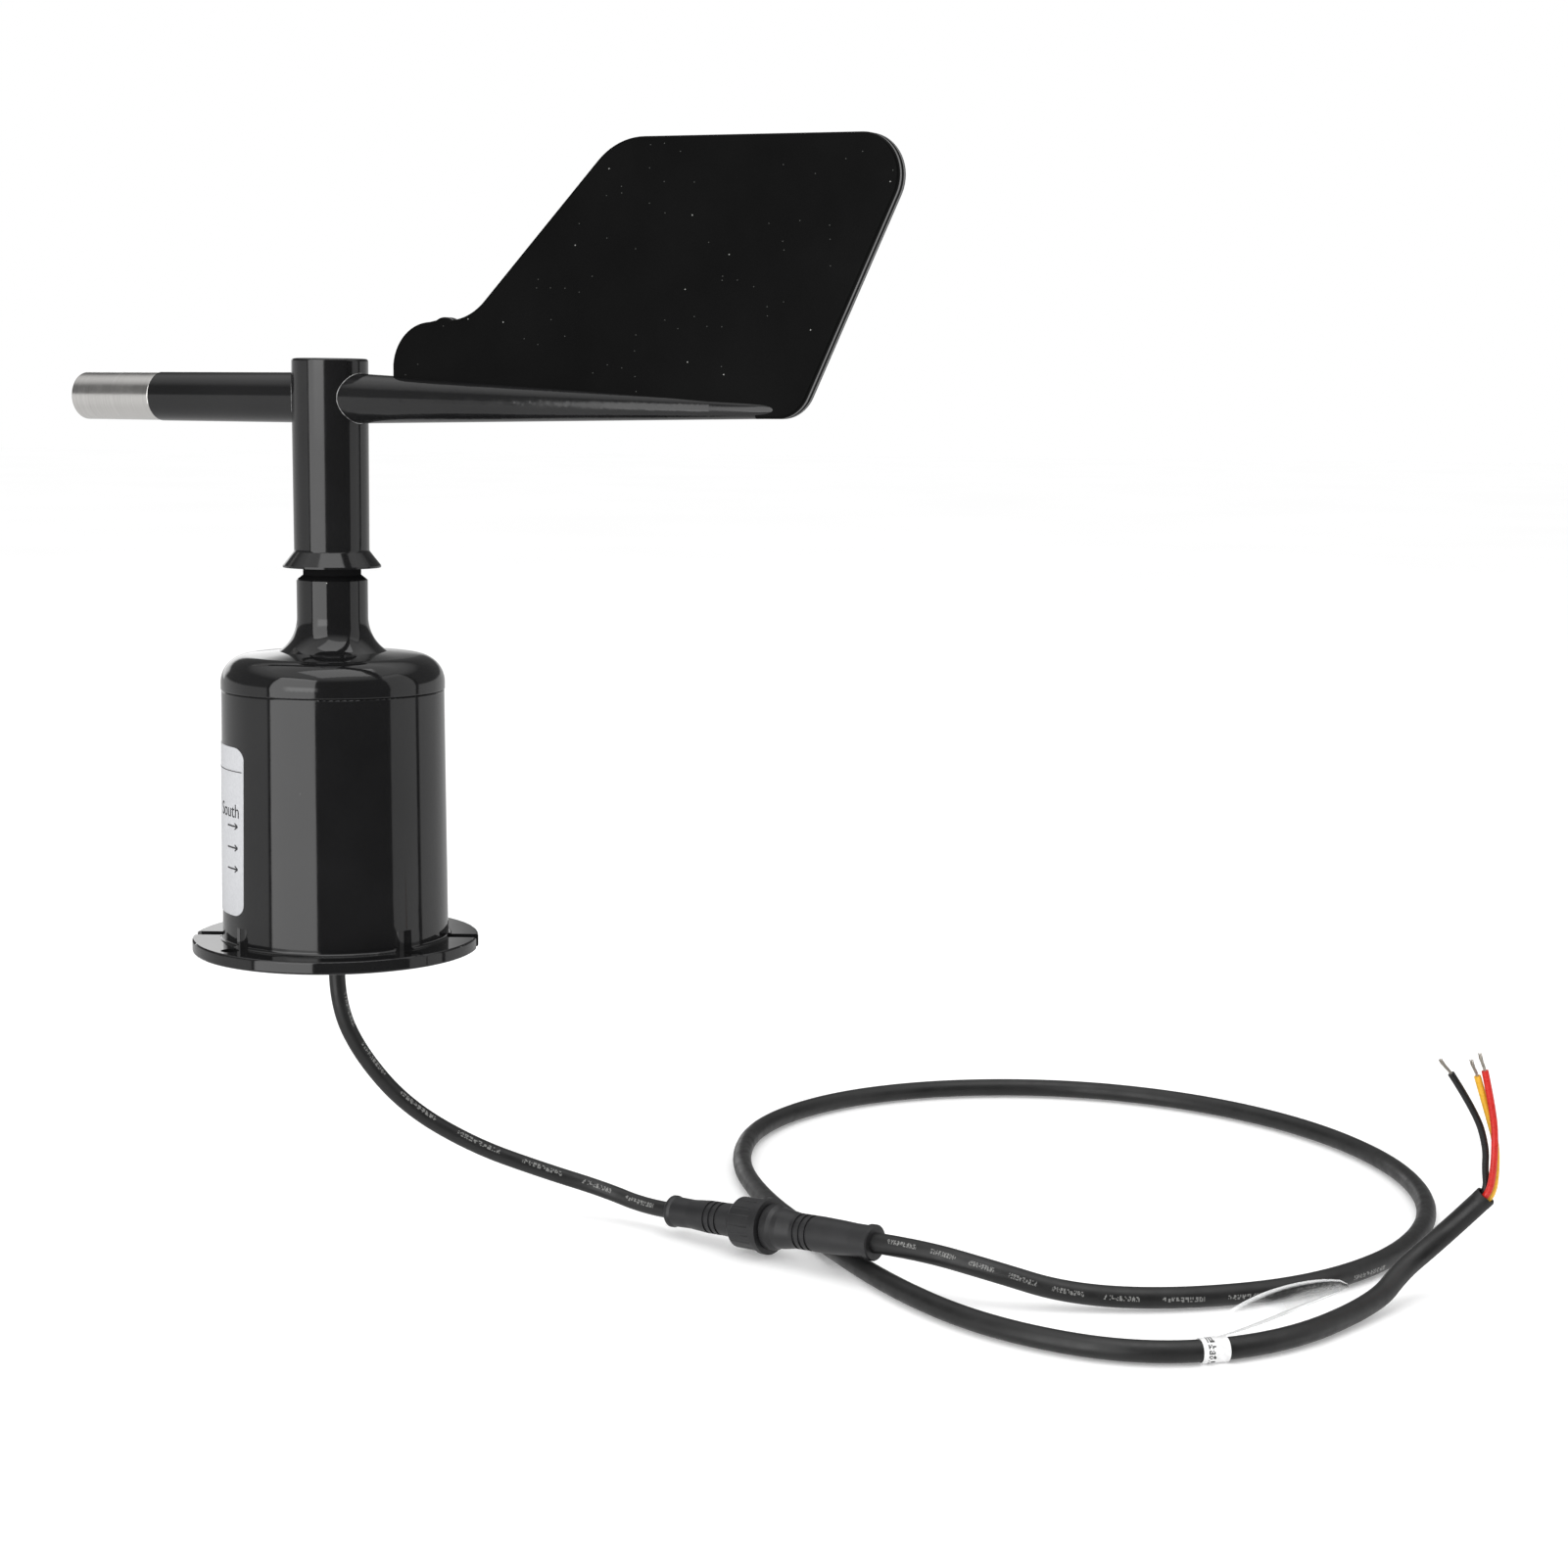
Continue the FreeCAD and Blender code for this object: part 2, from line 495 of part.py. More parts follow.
def make_vane():
    hub = turned("hub", [
        ("hub_well_r", "skirt_z"), ("skirt_r", "skirt_z"), ("skirt_r", "skirt_z + skirt_lip"),
        ("hub_low_r", "hub_low_z"), ("hub_top_r", "hub_top_z"), ("0", "hub_top_z"),
        ("0", "shaft_top_z"), ("bush_r", "shaft_top_z"), ("bush_r", "hub_well_z"),
        ("hub_well_r", "hub_well_z"),
    ], [("hub_top_r", "hub_top_z", "0.7"), ("hub_low_r", "hub_low_z", "0.9")])
    along_y = Rotation(Vector(1, 0, 0), -90)
    grub_hole = ("grub_r", "9", "0", "shaft_r", "grub_z", along_y)
    pieces = {
        "vane_hub": cut(hub, x_cylinder("arm_spigot_r", "-hub_low_r - 2", "-arm_web"),
                        x_cylinder("arm_spigot_r", "arm_web", "hub_low_r + 2"),
                        cylinder(*grub_hole)),
        "hub_bush": cut(ring("shaft_r", "bush_r", "shaft_top_z - hub_well_z - 1.4",
                             "hub_well_z + 1.4"), cylinder(*grub_hole)),
        "hub_grub_screw": cut(cylinder("grub_r", "4.8", "0", "shaft_r", "grub_z", along_y),
                              hex_socket("0.85", "2", "0", "shaft_r + 3.2", "grub_z", along_y)),
        "front_arm": cut(fuse(cut(x_cylinder("arm_r", "-arm_end", "0"), hub_blank()),
                              x_cylinder("arm_spigot_r", "-hub_low_r - 3", "-arm_web")),
                         x_cylinder("stud_r", "-arm_end - 1", "-stud_end + 0.6")),
        "tail_boom": cut(fuse(cut(boom_blank(), hub_blank()),
                              x_cylinder("arm_spigot_r", "arm_web", "hub_low_r + 3")),
                         box("tongue_end - tongue_start", "tongue_t", "tongue_h",
                             "(tongue_start + tongue_end) / 2", "0", "tongue_z")),
        "tail_fin": make_fin(),
    }
    for label, obj in pieces.items():
        obj.Placement.Rotation = Rotation(Vector(0, 0, 1), REST_YAW)
        node(obj, label)
    weight = turned("weight", [
        ("0", "stud_end"), ("stud_r", "stud_end"), ("stud_r", "arm_end"), ("weight_r", "arm_end"),
        ("weight_r", "weight_end"), ("0", "weight_end"),
    ], [("weight_r", "arm_end", "0.35"), ("weight_r", "weight_end", "0.6")])
    outwards = Rotation(Vector(0, 0, 1), REST_YAW) * Rotation(Vector(0, 1, 0), -90)
    weight.Placement = Placement(Vector(0, 0, value("arm_z")), outwards)
    node(weight, "counterweight")


def hex_socket(circumradius, depth, x, y, z, rotation):
    obj = bind(doc.addObject("Part::Prism", "HexSocket"), Circumradius=circumradius, Height=depth)
    obj.Polygon = 6
    obj.Placement.Rotation = rotation
    return move(obj, x, y, z)


# ---------------------------------------------------------------- cable

def rounded_path(points):
    """Straight runs joined by tangent arcs, each as large as its two shorter runs allow."""
    spots = [Vector(*p) for p in points]
    edges, radii, at = [], [], spots[0]
    for before, corner, after in zip(spots, spots[1:], spots[2:]):
        back, on = (before - corner), (after - corner)
        reach = 0.45 * min(back.Length, on.Length)
        half_turn = (math.pi - back.getAngle(on)) / 2
        radii.append(reach / math.tan(half_turn))
        back.normalize()
        on.normalize()
        start, end = corner + back * reach, corner + on * reach
        inward = (back + on).normalize()
        middle = corner + inward * (radii[-1] / math.cos(half_turn) - radii[-1])
        edges.append(Part.LineSegment(at, start).toShape())
        edges.append(Part.Arc(start, middle, end).toShape())
        at = end
    edges.append(Part.LineSegment(at, spots[-1]).toShape())
    return Part.Wire(edges), radii


def swept(name, points, radius):
    """A round tube along a rounded path."""
    path, radii = rounded_path(points)
    heading = Vector(*points[1]) - Vector(*points[0])
    section = Part.Wire(Part.makeCircle(radius, Vector(*points[0]), heading))
    solid = path.makePipeShell([section], True, False)
    expected = math.pi * radius ** 2 * path.Length
    print("%s: length %.1f, radii %s, volume / expected %.4f"
          % (name, path.Length, " ".join("%.0f" % r for r in radii), solid.Volume / expected))
    obj = doc.addObject("Part::Feature", name)
    obj.Shape = solid
    return obj


INLINE_START = Vector(85.7, 6.2, BENCH_Z + 5.5)  # where the lead enters the connector
INLINE_YAW = -38.0
INLINE_RISE = 3.9  # its far end rests on the cable's loop
FLAG_YAW = 24.0
FLAG_RISE = 10.0


def inline_rotation():
    turn = Rotation(Vector(0, 0, 1), INLINE_YAW) * Rotation(Vector(0, 1, 0), -INLINE_RISE)
    return turn * Rotation(Vector(0, 1, 0), 90)


def on_inline_axis(distance):
    """A point on the connector's axis, and beyond either end of it."""
    return INLINE_START + inline_rotation().multVec(Vector(0, 0, distance))


LEAD_ROUTE = [
    (0, 0, -5.5), (0, 0, -15), (5.5, 2, -28.5), (16.5, 7, -43.5), (33, 13.5, -55.5),
    (51, 18.5, -63.5), (67, 19, -68.6),
]
LIE_Z = BENCH_Z + 2.6
CABLE_ROUTE = [
    (164.5, -50.5, -67.4), (184, -53, -72.6), (211, -53, LIE_Z), (245, -41.5, LIE_Z),
    (273, -14, LIE_Z), (289, 24, LIE_Z), (289, 66, LIE_Z), (273, 106, LIE_Z), (244, 137, LIE_Z),
    (206, 154, LIE_Z), (165, 153, LIE_Z), (130, 136, LIE_Z), (107, 105, LIE_Z),
    (101.5, 67, LIE_Z), (108.5, 30, LIE_Z), (122.5, -5, LIE_Z), (142, -48, LIE_Z),
    (164.5, -77, LIE_Z), (196, -93, LIE_Z), (229, -84, LIE_Z), (256.5, -55, LIE_Z),
    (265, -44, -68.5), (271.7, -40, -64.5), (278.9, -38.6, -58.4), (285, -40.7, -51.1),
]


def make_cable():
    lead = LEAD_ROUTE + [tuple(on_inline_axis(-9)), tuple(INLINE_START)]
    node(swept("lead_cable_path", lead, value("lead_r")), "lead_cable")
    end = value("inline_end")
    cable = [tuple(on_inline_axis(end)), tuple(on_inline_axis(end + 14))] + CABLE_ROUTE
    node(swept("extension_cable_path", cable, value("cable_r")), "extension_cable")

    band_from, band_to = Vector(*CABLE_ROUTE[18]), Vector(*CABLE_ROUTE[19])
    along = (band_to - band_from).normalize()
    band = ring("cable_r + 0.06", "band_r", "band_w", "-band_w / 2")
    band.Placement = Placement((band_from + band_to) / 2, Rotation(Vector(0, 0, 1), along))
    node(band, "marker_band")
    flag = bind(doc.addObject("Part::Box", "Flag"), Length="flag_l", Width="flag_w",
                Height="flag_t")
    lean = Rotation(Vector(0, 0, 1), FLAG_YAW) * Rotation(Vector(0, 1, 0), -FLAG_RISE)
    over = Vector(2, -2.2, value("band_r") + 0.4)
    flag.Placement = Placement((band_from + band_to) / 2 + over, lean)
    node(flag, "marker_flag")
    make_wires()


WIRES = {  # steps from the middle of the cable's cut end
    "wire_red": [(-0.4, -0.9, 0.15), (1, -1.4, 1.8), (1.5, -2.2, 8), (1.6, -2, 14.3),
                 (1, -1.8, 21.5), (-1.6, -1.8, 32.1)],
    "wire_yellow": [(0.8, 0.1, -0.6), (2.2, -0.4, 1.05), (2.8, 0.1, 7.5), (2.4, 0.3, 13.8),
                    (0.6, 0, 19.5), (-3.1, -0.8, 30.5)],
    "wire_black": [(-0.3, 0.78, 0.66), (0.8, 0.55, 2), (0.1, 0.4, 7), (0, -0.2, 12.5),
                   (-2.8, -0.8, 21.2), (-9.5, -0.8, 31.1)],
}


def make_wires():
    cut_end = Vector(*CABLE_ROUTE[-1])
    tips = []
    for label, steps in WIRES.items():
        path = [tuple(cut_end + Vector(*s)) for s in steps]
        node(swept(label + "_path", path, value("wire_r")), label)
        last = Vector(*path[-1])
        heading = (last - Vector(*path[-2])).normalize()
        tip = bind(doc.addObject("Part::Cylinder", "Tip"), Radius="tip_r", Height="tip_l")
        tip.Placement = Placement(last, Rotation(Vector(0, 0, 1), heading))
        tips.append(tip)
    node(group(*tips), "bare_wire_tips")


def make_inline_connector():
    def grooves(first, radius, count=3, step=1.9, width=0.8, depth=0.35):
        """Corners of square grooves in a straight stretch, for a turned outline."""
        out = []
        for i in range(count):
            z = first + step * i
            out += [(radius, str(z)), ("%s - %s" % (radius, depth), str(z)),
                    ("%s - %s" % (radius, depth), str(z + width)), (radius, str(z + width))]
        return out

    plug = turned("plug", [
        ("0", "0"), ("3.5", "0"), ("4.15", "0.7"), ("4.15", "1.5"), ("3.85", "2.2"),
        ("3.75", "7.5"), ("4.15", "12.5"),
    ] + grooves(13.6, "4.2") + [
        ("4.25", "20"), ("4.25", "25"), ("5.35", "25"), ("5.35", "26.6"), ("3.7", "26.6"),
        ("3.7", "33"), ("0", "33"),
    ])
    socket = turned("socket", [
        ("3.8", "27.8"), ("5.3", "27.8"), ("5.3", "33.4"), ("5.8", "33.4"), ("5.8", "35.4"),
        ("5.2", "36.4"), ("5.1", "38"), ("4.5", "42"),
    ] + grooves(43.0, "4.5") + [
        ("4.5", "49.5"), ("4.35", "55"), ("4.1", "60"), ("4.1", "64.2"), ("4.5", "64.4"),
        ("4.5", "65.7"), ("4.2", "inline_end"), ("0", "inline_end"), ("0", "35.2"), ("3.8", "35.2"),
    ])
    nut = turned("nut", [
        ("nut_tail_r", "nut_low"), ("5.7", "nut_low"), ("6.5", "nut_low + 0.9"),
        ("nut_r", "nut_high - 1.6"), ("nut_rim_r", "nut_high - 1.5"), ("nut_rim_r", "nut_high"),
        ("nut_bore_r", "nut_high"), ("nut_bore_r", "nut_low + 1.7"),
        ("nut_tail_r", "nut_low + 1.7"),
    ])
    flutes = []
    for index in range(18):
        x, y = around(20.0 * index, "nut_r + 0.45")
        flutes.append(cylinder("flute_r", "nut_high - 2.2 - nut_low", x, y, "nut_low - 0.5"))
    pins = []
    for index in range(3):
        x, y = around(120.0 * index + 90.0, "pin_ring_r")
        pins.append((x, y))
    dimple = Rotation(Vector(1, 0, 0), -90)
    pieces = {
        "plug_body": cut(plug, cylinder("0.4", "2", "-1", "3.3", "5.2", dimple)),
        "plug_pins": group(*[cylinder("pin_r", "pin_l", x, y, "33") for x, y in pins]),
        "socket_body": cut(socket, cylinder("0.4", "2", "-1", "3.6", "61.5", dimple),
                           *[cylinder("pin_r", "2.9", x, y, "35.1") for x, y in pins]),
        "plug_seal": ring("3.7", "5.2", "1.2", "26.6"),
        "coupling_nut": cut(nut, *flutes),
    }
    for label, obj in pieces.items():
        obj.Placement = Placement(INLINE_START, inline_rotation())
        node(obj, label)


# ---------------------------------------------------------------- build, check and write

def main():
    make_housing()
    make_cap()
    make_underside()
    make_label()
    make_electronics()
    make_rotor_core()
    make_vane()
    make_inline_connector()
    make_cable()
    doc.recompute()

    faults = [o.Name for o in doc.Objects if {"Invalid", "Error"} & set(o.State)]
    for obj in nodes:
        if obj.Shape.isNull() or not obj.Shape.isValid() or not obj.Shape.Solids:
            faults.append(obj.Label)
    if faults:
        raise RuntimeError("failed objects: " + ", ".join(faults))
    os.makedirs("parts", exist_ok=True)
    for obj in nodes:
        obj.Shape.exportStep("parts/%s.step" % obj.Label)
        print("%-24s solids %2d  volume %10.2f" % (obj.Label, len(obj.Shape.Solids), obj.Shape.Volume))
    print(len(nodes), "nodes")


main()
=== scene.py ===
import json
import math

import bpy
from mathutils import Matrix, Vector


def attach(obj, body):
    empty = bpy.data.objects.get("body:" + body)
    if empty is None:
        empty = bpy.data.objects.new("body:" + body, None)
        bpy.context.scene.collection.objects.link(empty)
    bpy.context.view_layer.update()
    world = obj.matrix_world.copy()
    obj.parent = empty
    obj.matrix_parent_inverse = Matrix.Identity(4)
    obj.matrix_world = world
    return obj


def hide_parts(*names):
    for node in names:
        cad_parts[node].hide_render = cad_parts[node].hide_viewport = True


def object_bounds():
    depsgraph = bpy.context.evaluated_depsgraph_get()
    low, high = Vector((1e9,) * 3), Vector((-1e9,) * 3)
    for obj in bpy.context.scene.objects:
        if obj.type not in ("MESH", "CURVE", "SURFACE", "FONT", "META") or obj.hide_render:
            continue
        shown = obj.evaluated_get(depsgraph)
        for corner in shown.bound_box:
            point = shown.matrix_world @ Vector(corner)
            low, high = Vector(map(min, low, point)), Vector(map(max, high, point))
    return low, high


# Looks for a wind direction sensor: gloss black housing and vane, steel nose weight, and a lead
# with an inline connector whose cable lies on the bench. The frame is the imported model's, in
# metres. Routes and shapes are worked out in millimetres, and MM makes metres of them.

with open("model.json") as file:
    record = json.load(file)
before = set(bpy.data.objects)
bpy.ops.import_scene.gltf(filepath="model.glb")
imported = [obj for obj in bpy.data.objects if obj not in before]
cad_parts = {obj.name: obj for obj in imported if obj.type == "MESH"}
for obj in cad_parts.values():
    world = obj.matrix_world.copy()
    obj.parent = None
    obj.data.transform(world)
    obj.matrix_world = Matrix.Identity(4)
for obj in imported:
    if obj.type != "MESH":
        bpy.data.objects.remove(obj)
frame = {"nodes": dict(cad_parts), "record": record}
NODES = frame["nodes"]
cad_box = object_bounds()
MM = 0.001

REST_YAW = math.radians(-30.0)  # where the tail points at rest, about the mast

# ---------------------------------------------------------------- cords: their sizes, in metres

LEAD_LENGTH, LEAD_DIAMETER = 0.124, 0.0042
CABLE_LENGTH, CABLE_DIAMETER = 0.823, 0.0052
WIRE_LENGTH, WIRE_DIAMETER = 0.033, 0.0017

# ---------------------------------------------------------------- cords: where they lie, in millimetres

CABLE_R = 2.6
BENCH_Z = -76.0
LIE_Z = BENCH_Z + CABLE_R  # the cable's middle where it lies on the bench
# where the inline connector starts, how long it is, and where it points
INLINE_START = Vector((85.7, 6.2, BENCH_Z + 5.5))
INLINE_LENGTH = 66.0
INLINE_YAW, INLINE_RISE = math.radians(-38.0), math.radians(3.9)
INLINE_AXIS = Vector((math.cos(INLINE_YAW) * math.cos(INLINE_RISE),
                      math.sin(INLINE_YAW) * math.cos(INLINE_RISE), math.sin(INLINE_RISE)))


def on_inline_axis(distance):
    """A point on the connector's axis, at a distance past the connector's start."""
    return tuple(INLINE_START + INLINE_AXIS * distance)


LEAD_ROUTE = [
    (0, 0, -5.5), (0, 0, -15), (5.5, 2, -28.5), (16.5, 7, -43.5), (33, 13.5, -55.5),
    (51, 18.5, -63.5), (67, 19, -68.6), on_inline_axis(-9), tuple(INLINE_START),
]
CABLE_ROUTE = [
    on_inline_axis(INLINE_LENGTH), on_inline_axis(INLINE_LENGTH + 14),
    (164.5, -50.5, -67.4), (184, -53, -72.6), (211, -53, LIE_Z), (245, -41.5, LIE_Z),
    (273, -14, LIE_Z), (289, 24, LIE_Z), (289, 66, LIE_Z), (273, 106, LIE_Z), (244, 137, LIE_Z),
    (206, 154, LIE_Z), (165, 153, LIE_Z), (130, 136, LIE_Z), (107, 105, LIE_Z),
    (101.5, 67, LIE_Z), (108.5, 30, LIE_Z), (122.5, -5, LIE_Z), (142, -48, LIE_Z),
    (164.5, -77, LIE_Z), (196, -93, LIE_Z), (229, -84, LIE_Z), (256.5, -55, LIE_Z),
    (265, -44, -68.5), (271.7, -40, -64.5), (278.9, -38.6, -58.4), (285, -40.7, -51.1),
]
BAND_AFTER = 20  # the index of the route's point before the marker band
CUT_END = Vector(CABLE_ROUTE[-1])
CUT_HEADING = (CUT_END - Vector(CABLE_ROUTE[-2])).normalized()
WIRES = {  # each wire's route, as steps from the middle of the cable's cut end
    "wire_red": [(-0.4, -0.9, 0.15), (1, -1.4, 1.8), (1.5, -2.2, 8), (1.6, -2, 14.3),
                 (1, -1.8, 21.5), (-1.6, -1.8, 32.1)],
    "wire_yellow": [(0.8, 0.1, -0.6), (2.2, -0.4, 1.05), (2.8, 0.1, 7.5), (2.4, 0.3, 13.8),
                    (0.6, 0, 19.5), (-3.1, -0.8, 30.5)],
    "wire_black": [(-0.3, 0.78, 0.66), (0.8, 0.55, 2), (0.1, 0.4, 7), (0, -0.2, 12.5),
                   (-2.8, -0.8, 21.2), (-9.5, -0.8, 31.1)],
}
TIP_LENGTH = 4.5  # how much of a wire's strands is bare


def band_place():
    """The middle of the marker band, in millimetres, and the cable's direction there."""
    before, after = (Vector(spot) for spot in CABLE_ROUTE[BAND_AFTER:BAND_AFTER + 2])
    return (before + after) / 2, (after - before).normalized()


# ---------------------------------------------------------------- camera


def add_camera():
    """A 63 mm lens in front and a little above, turned slightly about its own axis."""
    place = Vector((0.1138, -0.688, 0.1372))
    pitch, roll = math.radians(7.788), math.radians(0.604)
    ahead = Vector((0, math.cos(pitch), -math.sin(pitch)))
    level_right = Vector((1, 0, 0))
    level_up = Vector((0, math.sin(pitch), math.cos(pitch)))
    right = level_right * math.cos(roll) + level_up * math.sin(roll)
    up = level_up * math.cos(roll) - level_right * math.sin(roll)
    data = bpy.data.cameras.new("camera")
    data.sensor_width = 36.0
    data.lens = 62.96
    data.clip_start, data.clip_end = 0.01, 50.0
    camera = bpy.data.objects.new("camera", data)
    turn = Matrix((right, up, -ahead)).transposed().to_4x4()
    camera.matrix_world = Matrix.Translation(place) @ turn
    bpy.context.scene.collection.objects.link(camera)
    bpy.context.scene.camera = camera


# ---------------------------------------------------------------- node helpers


class Nodes:
    """A node tree that is built up node by node. A source is a number, a colour or an output."""

    def __init__(self, tree):
        self.tree = tree

    def add(self, kind, **settings):
        node = self.tree.nodes.new("ShaderNode" + kind)
        for key, setting in settings.items():
            setattr(node, key, setting)
        return node

    def feed(self, source, target):
        """Give a node's input its number or colour, or link it to an output."""
        if isinstance(source, (int, float)):
            target.default_value = source
        elif isinstance(source, (tuple, list)):
            target.default_value = (*source, 1.0)
        else:
            self.tree.links.new(source, target)

    def math(self, operation, a, b=0.0):
        node = self.add("Math", operation=operation)
        self.feed(a, node.inputs[0])
        self.feed(b, node.inputs[1])
        return node.outputs["Value"]

    def split(self, vector):
        """The three outputs X, Y and Z of a vector."""
        node = self.add("SeparateXYZ")
        self.feed(vector, node.inputs["Vector"])
        return node.outputs

    def combine(self, x, y=0.0):
        node = self.add("CombineXYZ")
        self.feed(x, node.inputs["X"])
        self.feed(y, node.inputs["Y"])
        return node.outputs["Vector"]

    def along(self, vector, direction):
        """How far a vector goes in a direction."""
        node = self.add("VectorMath", operation="DOT_PRODUCT")
        self.feed(vector, node.inputs[0])
        node.inputs[1].default_value = direction
        return node.outputs["Value"]

    def rescale(self, source, start, end, new_start=0.0, new_end=1.0):
        """New_start to new_end as source goes from start to end, and no further."""
        node = self.add("MapRange")
        self.feed(source, node.inputs["Value"])
        for key, number in (("From Min", start), ("From Max", end),
                            ("To Min", new_start), ("To Max", new_end)):
            node.inputs[key].default_value = number
        return node.outputs["Result"]

    def ramp(self, source, stops):
        """Colours by the value of source: stops are (position, colour or grey)."""
        node = self.add("ValToRGB")
        elements = node.color_ramp.elements
        while len(elements) < len(stops):
            elements.new(0.5)
        for element, (position, colour) in zip(elements, stops):
            if not isinstance(colour, (tuple, list)):
                colour = (colour, colour, colour)
            element.position = position
            element.color = (*colour, 1.0)
        self.feed(source, node.inputs["Fac"])
        return node.outputs["Color"]

    def mix(self, factor, low, high, blend="MIX"):
        """Colour low where factor is 0, and high blended with it where factor is 1."""
        node = self.add("Mix", data_type="RGBA", blend_type=blend)
        self.feed(factor, node.inputs["Factor"])
        self.feed(low, node.inputs[6])
        self.feed(high, node.inputs[7])
        return node.outputs[2]


class Surface(Nodes):
    """A procedural material around one Principled shader. Its sizes are in metres."""

    def __init__(self, name, roughness, metallic=0.0, **inputs):
        self.material = bpy.data.materials.new(name)
        self.material.use_nodes = True
        super().__init__(self.material.node_tree)
        self.shader = self.tree.nodes["Principled BSDF"]
        self.shader.inputs["Roughness"].default_value = roughness
        self.shader.inputs["Metallic"].default_value = metallic
        for key, number in inputs.items():
            self.shader.inputs[key.replace("_", " ")].default_value = number
        self.place = self.add("TexCoord").outputs["Object"]

    def noise(self, size, detail=3.0, stretch=(1, 1, 1)):
        """Noise from 0 to 1 whose grains are about size across, longer by stretch."""
        mapping = self.add("Mapping")
        mapping.inputs["Scale"].default_value = [1.0 / (size * times) for times in stretch]
        self.feed(self.place, mapping.inputs["Vector"])
        noise = self.add("TexNoise")
        noise.inputs["Scale"].default_value = 1.0
        noise.inputs["Detail"].default_value = detail
        noise.inputs["Roughness"].default_value = 0.55
        self.feed(mapping.outputs["Vector"], noise.inputs["Vector"])
        return noise.outputs["Fac"]

    def specks(self, spacing, radius, share, plate=None):
        """1 in small round dust specks, in a share of the cells that are spacing apart. They fill
        space, or lie evenly on a flat plate where its two coordinates are given."""
        mapping = self.add("Mapping")
        mapping.inputs["Scale"].default_value = [1.0 / spacing] * 3
        self.feed(self.place if plate is None else plate, mapping.inputs["Vector"])
        cells = self.add("TexVoronoi", voronoi_dimensions="3D" if plate is None else "2D")
        cells.inputs["Scale"].default_value = 1.0
        self.feed(mapping.outputs["Vector"], cells.inputs["Vector"])
        near = self.math("LESS_THAN", cells.outputs["Distance"], radius / spacing)
        chance = self.add("SeparateColor")
        self.feed(cells.outputs["Color"], chance.inputs["Color"])
        chosen = self.math("LESS_THAN", chance.outputs[0], share)
        return self.math("MULTIPLY", near, chosen)

    def strokes(self, run, height):
        """1 in the strokes of a row of made-up characters, which reads like small print."""
        stroke = 0.0003  # a stroke's width
        blank = 0.42  # the share of strokes that aren't drawn
        pitch, drawn_to = 4.0, 2.5  # a character takes three columns of every four
        column = self.math("FLOOR", self.math("DIVIDE", run, stroke))
        line = self.math("FLOOR", self.math("DIVIDE", height, stroke))
        chance = self.add("TexWhiteNoise", noise_dimensions="2D")
        self.feed(self.combine(column, line), chance.inputs["Vector"])
        drawn = self.math("GREATER_THAN", chance.outputs["Value"], blank)
        within = self.math("LESS_THAN", self.math("FLOORED_MODULO", column, pitch), drawn_to)
        return self.math("MULTIPLY", drawn, within)

    def colour(self, source):
        self.feed(source, self.shader.inputs["Base Color"])

    def rough(self, source, low, high):
        """Roughness from low to high as source goes from 0.3 to 0.7."""
        self.feed(self.rescale(source, 0.3, 0.7, low, high), self.shader.inputs["Roughness"])

    def bump(self, source, height, strength=1.0):
        """Relief of that height. A second call adds to the first."""
        bump = self.add("Bump")
        bump.inputs["Strength"].default_value = strength
        bump.inputs["Distance"].default_value = height
        self.feed(source, bump.inputs["Height"])
        normal = self.shader.inputs["Normal"]
        if normal.is_linked:
            self.feed(normal.links[0].from_socket, bump.inputs["Normal"])
        self.feed(bump.outputs["Normal"], normal)


def toned(shade, times):
    """A lighter or darker shade."""
    return [min(1.0, channel * times) for channel in shade]


# ---------------------------------------------------------------- materials


def moulded_plastic(name, shade, roughness, grain=0.0, dust=0.0, painted_shade_from=None):
    """Injection-moulded plastic: slow waves from the mould, a fine grain of that depth and specks
    of dust in that share of the cells. Above the height given last it has no shine: painted shade
    on the neck inside the vane's skirt."""
    look = Surface(name, roughness)
    tone = look.ramp(look.noise(0.03), [(0.35, toned(shade, 0.85)), (0.65, toned(shade, 1.15))])
    if dust:
        tone = look.mix(look.specks(0.004, 0.00016, dust), tone, (0.5, 0.5, 0.48))
    look.colour(tone)
    look.rough(look.noise(0.006, 6.0), roughness * 0.8, roughness * 1.25)
    if painted_shade_from:
        # painted shade: no shine above this height, for the shade on the neck inside the vane's skirt
        glossy = look.math("LESS_THAN", look.split(look.place)["Z"], painted_shade_from)
        look.feed(look.math("MULTIPLY", glossy, 0.5), look.shader.inputs["Specular IOR Level"])
    look.bump(look.noise(0.012, 1.0), 0.00002)
    if grain:
        look.bump(look.noise(0.0003, 2.0), grain)
    return look.material


def worked_metal(name, shade, roughness, stretch=(1, 1, 1)):
    """Turned, ground or brushed metal, with marks that are drawn out by stretch."""
    look = Surface(name, roughness, metallic=1.0)
    look.colour(look.ramp(look.noise(0.0006, 4.0, stretch),
                          [(0.3, toned(shade, 0.86)), (0.7, toned(shade, 1.08))]))
    look.rough(look.noise(0.0009, 4.0, stretch), roughness * 0.75, roughness * 1.3)
    look.bump(look.noise(0.00025, 3.0, stretch), 0.000004)
    return look.material


